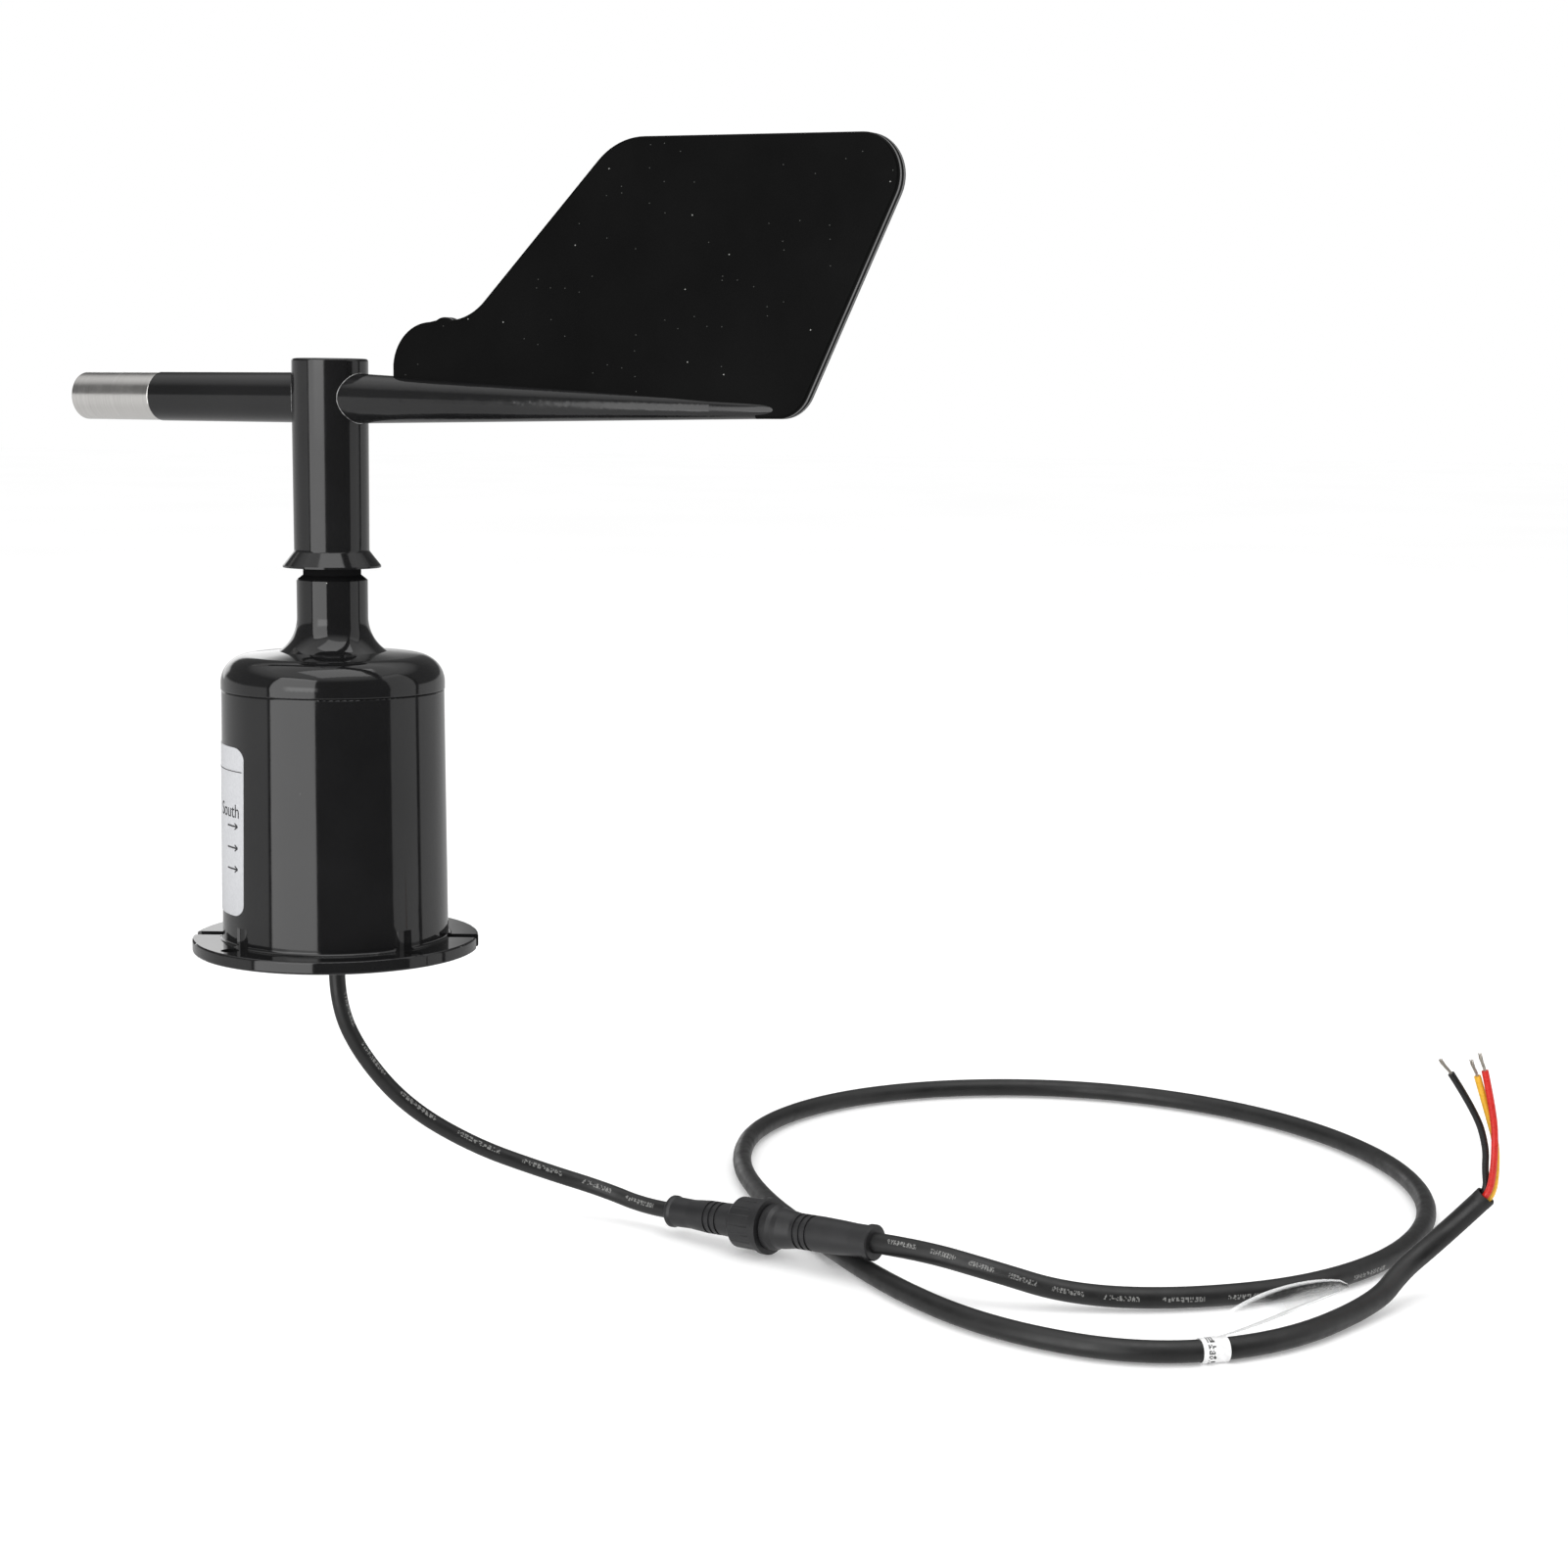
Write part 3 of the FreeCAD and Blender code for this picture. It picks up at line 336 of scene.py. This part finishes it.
def fin_plastic():
    """Satin black plate with faint flow marks, specks of white dust and painted highlights on its edge.
    """
    edge_half = 0.0017  # a face that is nearer to the fin's middle plane than this is its edge
    highlight_line_scale = 185.0  # how close together the edge's painted highlight bands lie
    look = Surface("fin_plastic", 0.42, Specular_IOR_Level=0.03)
    tone = look.ramp(look.noise(0.025, 5.0), [(0.3, 0.0022), (0.7, 0.0036)])
    place = look.split(look.place)
    plate = look.combine(place["X"], place["Z"])
    tone = look.mix(look.specks(0.0034, 0.00012, 0.14, plate), tone, (0.055, 0.055, 0.053))
    tone = look.mix(look.specks(0.009, 0.00013, 0.2, plate), tone, (0.28, 0.28, 0.27))
    off_plane = look.along(look.place, (-math.sin(REST_YAW), math.cos(REST_YAW), 0))
    edge_face = look.math("LESS_THAN", look.math("ABSOLUTE", off_plane), edge_half)
    lines = look.add("TexWave", wave_type="BANDS", bands_direction="X")
    lines.inputs["Scale"].default_value = 1.0
    look.feed(look.combine(look.math("MULTIPLY", off_plane, highlight_line_scale)), lines.inputs["Vector"])
    # painted highlights: light bands in the edge's colour stand in for light caught by its rounded
    # edges
    painted_edge_highlights = look.ramp(lines.outputs["Fac"], [(0.45, 0.006), (0.85, 0.15)])
    look.colour(look.mix(edge_face, tone, painted_edge_highlights))
    look.rough(look.noise(0.01, 5.0), 0.34, 0.46)
    look.bump(look.noise(0.0004, 3.0), 0.000006)
    return look.material


def turned_steel():
    """The nose weight: fine turning marks round its own axis, which points along the vane."""
    look = Surface("turned_steel", 0.22, metallic=1.0)
    turn = look.add("Mapping")
    turn.inputs["Rotation"].default_value = (0, 0, -REST_YAW)
    look.feed(look.place, turn.inputs["Vector"])
    look.place = turn.outputs["Vector"]
    rings = look.noise(0.0002, 2.0, (1, 200, 200))
    blotch = look.noise(0.004, 5.0)
    look.colour(look.mix(rings, (0.62, 0.605, 0.585), (0.86, 0.845, 0.825)))
    look.rough(blotch, 0.16, 0.26)
    look.bump(rings, 0.000005)
    return look.material


def label_paper():
    """Silver-white vinyl."""
    look = Surface("label_paper", 0.38)
    look.colour(look.ramp(look.noise(0.0007, 4.0),
                          [(0.3, (0.4, 0.405, 0.42)), (0.7, (0.45, 0.455, 0.47))]))
    look.rough(look.noise(0.002), 0.32, 0.46)
    look.bump(look.noise(0.004, 2.0), 0.00001)
    return look.material


def circuit_board():
    """Green solder mask with copper tracks showing through as a lighter green."""
    look = Surface("circuit_board", 0.28)
    tracks = look.add("TexBrick")
    for key, source in (("Scale", 260.0), ("Mortar Size", 0.06), ("Color1", (0.008, 0.11, 0.035)),
                        ("Color2", (0.010, 0.13, 0.045)), ("Mortar", (0.03, 0.26, 0.09)),
                        ("Vector", look.place)):
        look.feed(source, tracks.inputs[key])
    look.colour(tracks.outputs["Color"])
    look.bump(tracks.outputs["Fac"], 0.00004, 0.6)
    return look.material


def cable_jacket(name, length, diameter, print_side, twist):
    """Satin black PVC with a slight lay of the cores under it. A row of small pale strokes, in
    groups, stands in for print. It starts on print_side and winds round by twist in all, both in
    turns."""
    print_half = 0.0006  # half the height of the print
    group, gap = 0.017, 0.35  # from one group to the next, and how much of that is clear
    look = Surface(name, 0.4, Specular_IOR_Level=0.45)
    tone = look.ramp(look.noise(0.01, 5.0), [(0.3, 0.009), (0.7, 0.016)])
    lengthwise, around, _ = look.split(look.add("TexCoord").outputs["UV"])
    run = look.math("MULTIPLY", lengthwise, length)
    winding = look.math("SUBTRACT", around, look.math("MULTIPLY", lengthwise, twist))
    turn = look.math("FRACT", look.math("SUBTRACT", winding, print_side - 0.5))
    height = look.math("MULTIPLY", look.math("SUBTRACT", turn, 0.5), math.pi * diameter)
    band = look.math("LESS_THAN", look.math("ABSOLUTE", height), print_half)
    groups = look.math("GREATER_THAN", look.math("FRACT", look.math("DIVIDE", run, group)), gap)
    marks = look.math("MULTIPLY", look.math("MULTIPLY", look.strokes(run, height), band), groups)
    look.colour(look.mix(look.math("MULTIPLY", marks, 0.5), tone, (0.34, 0.34, 0.33)))
    look.rough(look.noise(0.003, 5.0), 0.34, 0.5)
    look.bump(look.noise(0.0006, 3.0), 0.00001)
    look.bump(look.noise(0.009, 1.0), 0.00006)
    return look.material


def clear_film():
    """Thin clear film, a little cloudy at its creases."""
    look = Surface("clear_film", 0.12, Transmission_Weight=1.0, IOR=1.2, Alpha=0.45)
    look.colour(look.ramp(look.noise(0.003, 3.0),
                          [(0.4, (0.9, 0.92, 0.93)), (0.6, (1.0, 1.0, 1.0))]))
    look.bump(look.noise(0.004, 2.0), 0.0002)
    return look.material


def wire_plastic(name, shade):
    """The smooth coloured jacket of one core."""
    look = Surface(name, 0.28)
    look.colour(look.ramp(look.noise(0.002, 4.0), [(0.3, toned(shade, 0.82)), (0.7, shade)]))
    look.rough(look.noise(0.001), 0.22, 0.36)
    look.bump(look.noise(0.0008, 2.0), 0.00001)
    return look.material


def marker_vinyl():
    """White heat-shrink with a ring of small dark strokes in the place of a printed code."""
    ring_before, ring_half = 0.0012, 0.0009  # from the band's middle, and half the ring's width
    look = Surface("marker_vinyl", 0.4)
    tone = look.ramp(look.noise(0.0012, 4.0), [(0.3, 0.66), (0.7, 0.8)])
    middle, heading = band_place()
    from_middle = look.add("VectorMath", operation="SUBTRACT")
    look.feed(look.place, from_middle.inputs[0])
    from_middle.inputs[1].default_value = middle * MM
    run = look.along(from_middle.outputs["Vector"], heading)
    height = look.split(from_middle.outputs["Vector"])["Z"]
    off_ring = look.math("ABSOLUTE", look.math("ADD", run, ring_before))
    ring = look.math("LESS_THAN", off_ring, ring_half)
    marks = look.math("MULTIPLY", look.strokes(height, run), ring)
    look.colour(look.mix(marks, tone, (0.05, 0.05, 0.05)))
    look.rough(look.noise(0.0016), 0.34, 0.5)
    look.bump(look.noise(0.0009, 3.0), 0.00002)
    return look.material


def glue_and_highlight():
    """A fine bead of clear glue, its colour pale in patches: a painted highlight."""
    look = Surface("glue_and_highlight", 0.12)
    # painted highlight: pale patches in the colour stand in for light that the bead catches
    look.colour(look.ramp(look.noise(0.002, 3.0), [(0.35, 0.03), (0.65, 0.35)]))
    return look.material


BLACK = (0.0075, 0.0075, 0.0078)
SKIRT_GAP = 0.0938  # the height where the housing's neck goes up into the vane's skirt
TURNED_UPRIGHT = (40, 40, 1)  # stretches marks round an upright axis
MATERIALS = {
    # the housing has no shine above SKIRT_GAP: painted shade on the neck inside the vane's skirt
    "housing_plastic": moulded_plastic("housing_plastic", BLACK, 0.075, dust=0.035,
                                       painted_shade_from=SKIRT_GAP),
    "vane_plastic": moulded_plastic("vane_plastic", BLACK, 0.11, dust=0.05),
    "fin_plastic": fin_plastic(),
    "cover_plastic": moulded_plastic("cover_plastic", (0.011, 0.011, 0.011), 0.38, grain=0.00001),
    "connector_plastic": moulded_plastic("connector_plastic", (0.015, 0.015, 0.016), 0.42,
                                         grain=0.000012),
    "chip_plastic": moulded_plastic("chip_plastic", (0.012, 0.012, 0.013), 0.5, grain=0.00001),
    "header_plastic": moulded_plastic("header_plastic", (0.72, 0.69, 0.6), 0.4),
    "cage_plastic": moulded_plastic("cage_plastic", (0.42, 0.3, 0.12), 0.45),
    "seal_rubber": moulded_plastic("seal_rubber", (0.012, 0.012, 0.012), 0.6, grain=0.00002),
    "weight_steel": turned_steel(),
    "bearing_steel": worked_metal("bearing_steel", (0.62, 0.62, 0.63), 0.16),
    "shaft_steel": worked_metal("shaft_steel", (0.58, 0.58, 0.58), 0.24, TURNED_UPRIGHT),
    "screw_steel": worked_metal("screw_steel", (0.5, 0.5, 0.5), 0.3),
    "aluminium": worked_metal("aluminium", (0.76, 0.76, 0.77), 0.3, TURNED_UPRIGHT),
    "magnet": worked_metal("magnet", (0.6, 0.59, 0.57), 0.18),
    "brass": worked_metal("brass", (0.75, 0.54, 0.22), 0.26, TURNED_UPRIGHT),
    "pin_gold": worked_metal("pin_gold", (0.86, 0.62, 0.26), 0.2),
    "tinned_copper": worked_metal("tinned_copper", (0.68, 0.63, 0.56), 0.3),
    "label_paper": label_paper(),
    "circuit_board": circuit_board(),
    "cable_jacket": cable_jacket("cable_jacket", CABLE_LENGTH, CABLE_DIAMETER, print_side=0.33,
                                 twist=0.62),
    "lead_jacket": cable_jacket("lead_jacket", LEAD_LENGTH, LEAD_DIAMETER, print_side=0.5,
                                twist=0.1),
    "glue_and_highlight": glue_and_highlight(),
    "band_vinyl": marker_vinyl(),
    "flag_film": clear_film(),
    "wire_red": wire_plastic("wire_red", (0.55, 0.015, 0.009)),
    "wire_yellow": wire_plastic("wire_yellow", (0.76, 0.41, 0.025)),
    "wire_black": wire_plastic("wire_black", (0.012, 0.012, 0.012)),
    "cable_rim": moulded_plastic("cable_rim", (0.012, 0.012, 0.012), 0.45, grain=0.00002),
    "print_ink": moulded_plastic("print_ink", (0.02, 0.02, 0.022), 0.5),
}


def dress_nodes():
    """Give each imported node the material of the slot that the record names."""
    for part in frame["record"]["subparts"]:
        for slot in NODES[part["node"]].material_slots:
            slot.material = MATERIALS[part["material_slot"]]


# ---------------------------------------------------------------- piece helpers


def placed(obj, body, slot, *nodes):
    """Put a piece in the scene on its body and hide the CAD nodes it stands for; slot is not used."""
    bpy.context.scene.collection.objects.link(obj)
    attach(obj, body)
    if nodes:
        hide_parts(*nodes)
    return obj


def mesh_piece(name, points, faces, material, smooth=True):
    """A mesh object from points in millimetres. It isn't in the scene yet."""
    mesh = bpy.data.meshes.new(name)
    mesh.from_pydata([tuple(Vector(point) * MM) for point in points], [], faces)
    mesh.polygons.foreach_set("use_smooth", [smooth] * len(mesh.polygons))
    mesh.materials.append(MATERIALS[material])
    return bpy.data.objects.new(name, mesh)


def grid_faces(rows, columns, closed=False):
    """Quads between rows of points that are columns long. Closed joins the last row to the first."""
    faces = []
    for row in range(rows if closed else rows - 1):
        for column in range(columns - 1):
            here = row * columns + column
            beside = ((row + 1) % rows) * columns + column
            faces.append((here, beside, beside + 1, here + 1))
    return faces


def thicken(obj, thickness):
    """Give a thin mesh its thickness, half to each side."""
    modifier = obj.modifiers.new("thickness", "SOLIDIFY")
    modifier.thickness = thickness * MM
    modifier.offset = 0.0
    return obj


def round_curve(name, radius, roundness, material):
    """A curve with a round section of that radius, in metres, and no line in it yet."""
    curve = bpy.data.curves.new(name, "CURVE")
    curve.dimensions = "3D"
    curve.bevel_depth = radius
    curve.bevel_resolution = roundness
    curve.use_fill_caps = True
    curve.materials.append(MATERIALS[material])
    return curve


# ---------------------------------------------------------------- cords


def tube(name, route, diameter, material):
    """A round cord along a smooth line guided by the route's points, which are in millimetres. The
    diameter is in metres. The cord isn't in the scene yet."""
    curve = round_curve(name, diameter / 2, 7, material)
    spline = curve.splines.new("NURBS")
    spline.points.add(len(route) - 1)
    for point, spot in zip(spline.points, route):
        point.co = (*(Vector(spot) * MM), 1.0)
    spline.order_u = 3
    spline.use_endpoint_u = True
    spline.resolution_u = 12
    return bpy.data.objects.new(name, curve)


def tip_strands(label, route):
    """Seven fine strands that twist out of a wire's bare end, six of them round the seventh."""
    strand_r, ring_r = 0.13, 0.26  # a strand's radius, and how far the six are from the seventh
    twist = 150.0  # in degrees, from the jacket to the tip
    steps = 8
    end = Vector(route[-1])
    heading = (end - Vector(route[-2])).normalized()
    side = heading.cross(Vector((0, 1, 0))).normalized()
    other = heading.cross(side)
    curve = round_curve(label + "_strands", strand_r * MM, 2, "tinned_copper")
    for strand in range(7):
        spline = curve.splines.new("POLY")
        spline.points.add(steps)
        reach = TIP_LENGTH - 0.25 * (strand % 3)
        for index, point in enumerate(spline.points):
            share = index / steps
            turn = math.radians(60.0 * strand + twist * share)
            spread = (0.0 if strand == 6 else ring_r) * (1 + 0.5 * share * share)
            bow = 0.5 * math.sin(2.4 * share) * share
            spot = (end + heading * (reach * share) + side * (spread * math.cos(turn) + bow)
                    + other * (spread * math.sin(turn)))
            point.co = (*(spot * MM), 1.0)
    strands = bpy.data.objects.new(label + "_strands", curve)
    return placed(strands, "root", "tinned_copper", "bare_wire_tips")


def add_cable_mouth():
    """The jacket's cut rim, which stands a little past the cores."""
    # the section's points: radius, and height past the end of the cable's line
    section = [(CABLE_R, -1.2), (CABLE_R, 0.75), (2.5, 0.85), (2.0, 0.8), (1.95, 0.6), (1.95, 0.02)]
    rim_from = 0.5  # points higher than this are the rim, and are cut unevenly
    proud = 0.02  # how far it stands off the jacket
    turns = 48
    side = CUT_HEADING.cross(Vector((0, 0, 1))).normalized()
    other = CUT_HEADING.cross(side)
    points = []
    for index in range(turns):
        angle = 2 * math.pi * index / turns
        out = side * math.cos(angle) + other * math.sin(angle)
        ragged = 0.08 * math.sin(3 * angle + 0.6) + 0.05 * math.sin(7 * angle)
        for radius, height in section:
            lift = height + (ragged if height > rim_from else 0.0)
            points.append(CUT_END + out * (radius + proud) + CUT_HEADING * lift)
    rim = mesh_piece("cable_mouth", points, grid_faces(turns, len(section), closed=True),
                     "cable_rim")
    return placed(rim, "root", "cable_jacket")


def add_marker_film():
    """The clear tail of the marker: a thin leaf that leaves the band and curls up to the right."""
    root, tip = Vector((211.4, -87.6, -70.2)), Vector((244.7, -78.8, -61.2))
    upward, forward = Vector((0, 0.25, 0.97)), Vector((0.1, -0.9, 0.2))
    rise = 1.9  # of its middle line, at half its length
    least_half, more_half = 0.4, 3.0  # half its width at its ends, and what the middle adds
    crease_depth, ripple = 0.8, 0.25
    fullness = 0.6  # a power under 1 makes a sine rise faster from its ends
    rows, columns = 18, 7
    points = []
    for row in range(rows):
        share = row / (rows - 1)
        bulge = rise * math.sin(math.pi * share) ** fullness
        middle = root.lerp(tip, share) + Vector((0, 0, bulge))
        half = least_half + more_half * math.sin(math.pi * share ** 0.8) ** fullness
        for column in range(columns):
            across = 2 * column / (columns - 1) - 1
            crease = crease_depth * (1 - across ** 2) + ripple * math.sin(9 * share + 2 * across)
            points.append(middle + upward * (half * across)
                          + forward * (crease * math.sin(math.pi * share)))
    film = mesh_piece("marker_film", points, grid_faces(rows, columns), "flag_film")
    return placed(thicken(film, 0.12), "root", "flag_film", "marker_flag")


def add_cords():
    """The lead, the extension cable and the three wires at its end, with the pieces on them."""
    lead = placed(tube("lead", LEAD_ROUTE, LEAD_DIAMETER, "lead_jacket"),
                  "root", "cable_jacket", "lead_cable")
    cable = placed(tube("cable", CABLE_ROUTE, CABLE_DIAMETER, "cable_jacket"),
                   "root", "cable_jacket", "extension_cable")
    add_marker_film()
    add_cable_mouth()
    for label, steps in WIRES.items():
        route = [tuple(CUT_END + Vector(step)) for step in steps]
        wire = placed(tube(label + "_core", route, WIRE_DIAMETER, label), "root", label, label)
        tip_strands(label, route)


# ---------------------------------------------------------------- label print

LABEL_INK = 0.18  # how far the ink stands off the wall
FOOT, SEAM = (3.2, 28.4), (66.2, 27.75)  # height and radius of the wall at its two ends


def on_wall(across, height):
    """A point that lies across to the right of the label's middle, and at a height."""
    share = (height - FOOT[0]) / (SEAM[0] - FOOT[0])
    radius = FOOT[1] + share * (SEAM[1] - FOOT[1]) + LABEL_INK
    angle = math.pi + across / radius
    return (radius * math.cos(angle), radius * math.sin(angle), height)


def bar(start, end, width, steps=10):
    """Points on the wall and faces of a straight inked line from start to end."""
    start, end = Vector(start), Vector(end)
    side = (end - start).orthogonal().normalized() * width / 2
    points = []
    for index in range(steps + 1):
        spot = start.lerp(end, index / steps)
        points += [on_wall(*(spot + side)), on_wall(*(spot - side))]
    return points, grid_faces(steps + 1, 2)


def word_on_wall(text, size, right, baseline):
    """Points on the wall and faces of a word that ends at right."""
    data = bpy.data.curves.new("label_word", "FONT")
    data.body = text
    data.size = size
    data.align_x = "RIGHT"
    flat = bpy.data.objects.new("label_word", data)
    mesh = bpy.data.meshes.new_from_object(flat)
    points = [on_wall(right + vertex.co.x, baseline + vertex.co.y) for vertex in mesh.vertices]
    faces = [tuple(polygon.vertices) for polygon in mesh.polygons]
    bpy.data.objects.remove(flat)
    return points, faces


def add_label_print():
    """A direction word, three arrows under it and a rule above it, in black ink."""
    rule_half, rule_height = 22.6, 47.2
    tail, tip = 15.2, 20.6  # where an arrow starts and ends, across the label
    barb_back, barb_out = 1.3, 0.75  # how far an arrow's barb goes back from its tip, and out
    inked = [word_on_wall("South", size=4.8, right=21.6, baseline=35.7),
             bar((-rule_half, rule_height), (rule_half, rule_height), width=0.22, steps=60)]
    for height in (33.5, 28.1, 22.8):
        inked.append(bar((tail, height), (tip, height), width=0.4))
        for side in (1, -1):
            inked.append(bar((tip + 0.1, height), (tip - barb_back, height + side * barb_out),
                             width=0.38, steps=3))
    points, faces = [], []
    for some_points, some_faces in inked:
        faces += [tuple(len(points) + corner for corner in face) for face in some_faces]
        points += some_points
    ink = mesh_piece("label_print", points, faces, "print_ink", smooth=False)
    placed(thicken(ink, 0.03), "root", "cover_plastic")


# ---------------------------------------------------------------- vane details

ARM_Z = 138.8  # the height of both arms' middles at the mast's axis
ARM_R = 6.25  # the front arm's
BOOM_TIP = (124.0, 136.93)  # its distance from the mast's axis, and its height
BOOM_R = (6.45, 2.08)  # at the mast's axis and at the tip
HUB = ((100.9, 9.35), (148.4, 9.5))  # height and radius at its two ends


def hub_radius(height):
    """The hub's radius at a height."""
    (low, low_r), (high, high_r) = HUB
    return low_r + (high_r - low_r) * (height - low) / (high - low)


def boom_at(distance):
    """The boom's radius and the height of its middle, at a distance from the mast's axis."""
    share = min(distance / BOOM_TIP[0], 1.0)
    return BOOM_R[0] + (BOOM_R[1] - BOOM_R[0]) * share, ARM_Z + (BOOM_TIP[1] - ARM_Z) * share


def turned_to_rest(spot):
    """A spot on the vane, given with the tail along x, where it is at rest."""
    return Matrix.Rotation(REST_YAW, 3, "Z") @ Vector(spot)


def add_joint_bead(name, side):
    """A fine bead of glue where an arm meets the hub: side is 1 for the boom and -1 for the arm."""
    bead_r, turns = 0.12, 72
    curve = round_curve(name, bead_r * MM, 2, "glue_and_highlight")
    spline = curve.splines.new("POLY")
    spline.points.add(turns - 1)
    spline.use_cyclic_u = True
    for index, point in enumerate(spline.points):
        angle = 2 * math.pi * index / turns
        distance = HUB[0][1]
        for _ in range(4):  # the boom's size depends on the distance, which is closed in on
            radius, middle = boom_at(distance) if side > 0 else (ARM_R, ARM_Z)
            across, height = radius * math.sin(angle), middle + radius * math.cos(angle)
            distance = math.sqrt(max(hub_radius(height) ** 2 - across ** 2, 0.0))
        point.co = (*(turned_to_rest((side * distance, across, height)) * MM), 1.0)
    placed(bpy.data.objects.new(name, curve), "vane", "vane_plastic")


def add_boom_point():
    """The boom's last stretch: it swells a little out of the fin's faces and ends round."""
    start, length = 112.0, 19.6
    start_half = 2.513  # half its width at its start
    proud = 0.01  # how far it stands off the boom
    turns, rings = 40, 48
    points = []
    for turn in range(turns):
        angle = 2 * math.pi * turn / turns
        for ring in range(rings + 1):
            share = math.sin(math.pi / 2 * ring / rings)
            distance = start + length * share
            radius, middle = boom_at(distance)
            past = max((distance - BOOM_TIP[0]) / (start + length - BOOM_TIP[0]), 0.0)
            half_width = start_half * math.sqrt(max(1 - share ** 6, 0.0))
            half_height = (radius + proud) * math.sqrt(max(1 - past ** 2, 0.0))
            points.append(turned_to_rest((distance, half_width * math.cos(angle),
                                          middle + half_height * math.sin(angle))))
    point = mesh_piece("boom_point", points, grid_faces(turns, rings + 1, closed=True),
                       "vane_plastic")
    placed(point, "vane", "vane_plastic")


# ---------------------------------------------------------------- stage


def add_softbox(name, azimuth, distance, middle, size, radiance, tilt=0.0):
    """A rectangular light that faces the mast from an azimuth in degrees, its middle at a height."""
    data = bpy.data.lights.new(name, "AREA")
    data.shape = "RECTANGLE"
    data.size, data.size_y = size
    data.energy = radiance * math.pi * size[0] * size[1]
    obj = bpy.data.objects.new(name, data)
    turn = math.radians(azimuth)
    obj.location = (distance * math.cos(turn), distance * math.sin(turn), middle)
    obj.rotation_euler = (math.radians(90.0 - tilt), 0, turn + math.radians(90.0))
    obj.visible_camera = False
    bpy.context.scene.collection.objects.link(obj)


def mirrored_room(sky):
    """What gloss mirrors: a pale floor and ceiling, walls that are pale except in front and have a
    dim belt, and low bright windows at the left, in front and behind."""
    front = math.radians(-67.5)
    ray = sky.add("TexCoord").outputs["Generated"]
    parts = sky.split(ray)
    forward = sky.rescale(sky.along(ray, (math.cos(front), math.sin(front), 0)), -1.0, 1.0)
    up = sky.rescale(parts["Z"], -1.0, 1.0)
    right = sky.rescale(parts["X"], -1.0, 1.0)
    ends = sky.ramp(up, [(0.0, 0.7), (0.34, 0.6), (0.4, 0.045), (0.8, 0.045), (0.9, 0.9)])
    around = sky.ramp(forward, [(0.3, 0.62), (0.54, 0.8), (0.556, 0.0)])
    belt = sky.ramp(up, [(0.535, 1.0), (0.56, 0.2), (0.78, 0.2), (0.86, 1.0)])
    side = sky.ramp(right, [(0.15, 0.0), (0.2, 1.5), (0.42, 1.5), (0.45, 0.0)])
    height = sky.ramp(up, [(0.5, 0.0), (0.505, 1.0), (0.6, 1.0), (0.64, 0.0)])
    walls = sky.mix(1.0, around, belt, "MULTIPLY")
    window = sky.mix(1.0, side, height, "MULTIPLY")
    return sky.mix(1.0, ends, sky.mix(1.0, window, walls, "LIGHTEN"), "LIGHTEN")


def add_world():
    """White to the camera, a soft fill light, and a room where gloss mirrors it."""
    world = bpy.data.worlds.new("studio")
    bpy.context.scene.world = world
    world.use_nodes = True
    world.node_tree.nodes.clear()
    sky = Nodes(world.node_tree)

    def light(colour, strength):
        node = sky.add("Background")
        sky.feed(colour, node.inputs["Color"])
        sky.feed(strength, node.inputs["Strength"])
        return node.outputs["Background"]

    def choose(test, otherwise, chosen):
        node = sky.add("MixShader")
        for socket, source in zip(node.inputs, (test, otherwise, chosen)):
            sky.feed(source, socket)
        return node.outputs["Shader"]

    ray_is = sky.add("LightPath").outputs
    white = (1, 1, 1)
    unseen = choose(ray_is["Is Glossy Ray"], light(white, 0.95), light(mirrored_room(sky), 1.0))
    whole = choose(ray_is["Is Camera Ray"], unseen, light(white, 1.0))
    sky.feed(whole, sky.add("OutputWorld").inputs["Surface"])


def add_floor():
    """A wide pale bench top just under the cable."""
    half, top = 12.0, cad_box[0][2] - 0.00002
    corners = [(-half, -half, top), (half, -half, top), (half, half, top), (-half, half, top)]
    mesh = bpy.data.meshes.new("bench")
    mesh.from_pydata(corners, [], [(0, 1, 2, 3)])
    floor = bpy.data.objects.new("bench", mesh)
    bpy.context.scene.collection.objects.link(floor)
    look = Surface("bench_top", 0.8, Specular_IOR_Level=0.0, Emission_Strength=0.17)
    look.feed((1, 1, 1), look.shader.inputs["Emission Color"])
    look.colour(look.ramp(look.noise(0.4, 2.0), [(0.3, 0.86), (0.7, 0.88)]))
    mesh.materials.append(look.material)
    floor.visible_glossy = False


# ---------------------------------------------------------------- put together

add_camera()
dress_nodes()
add_cords()
add_label_print()
add_joint_bead("boom_bead", 1)
add_joint_bead("arm_bead", -1)
add_boom_point()
add_world()
add_floor()
add_softbox("left_softbox", azimuth=-123.6, distance=0.95, middle=0.3, size=(0.85, 1.5),
            radiance=2.6)
add_softbox("right_softbox", azimuth=-5.0, distance=0.95, middle=0.3, size=(0.56, 1.5),
            radiance=0.75)
add_softbox("top_softbox", azimuth=-60.0, distance=0.25, middle=1.1, size=(0.9, 0.7),
            radiance=1.5, tilt=78.0)
bpy.context.scene.view_settings.view_transform = "Standard"
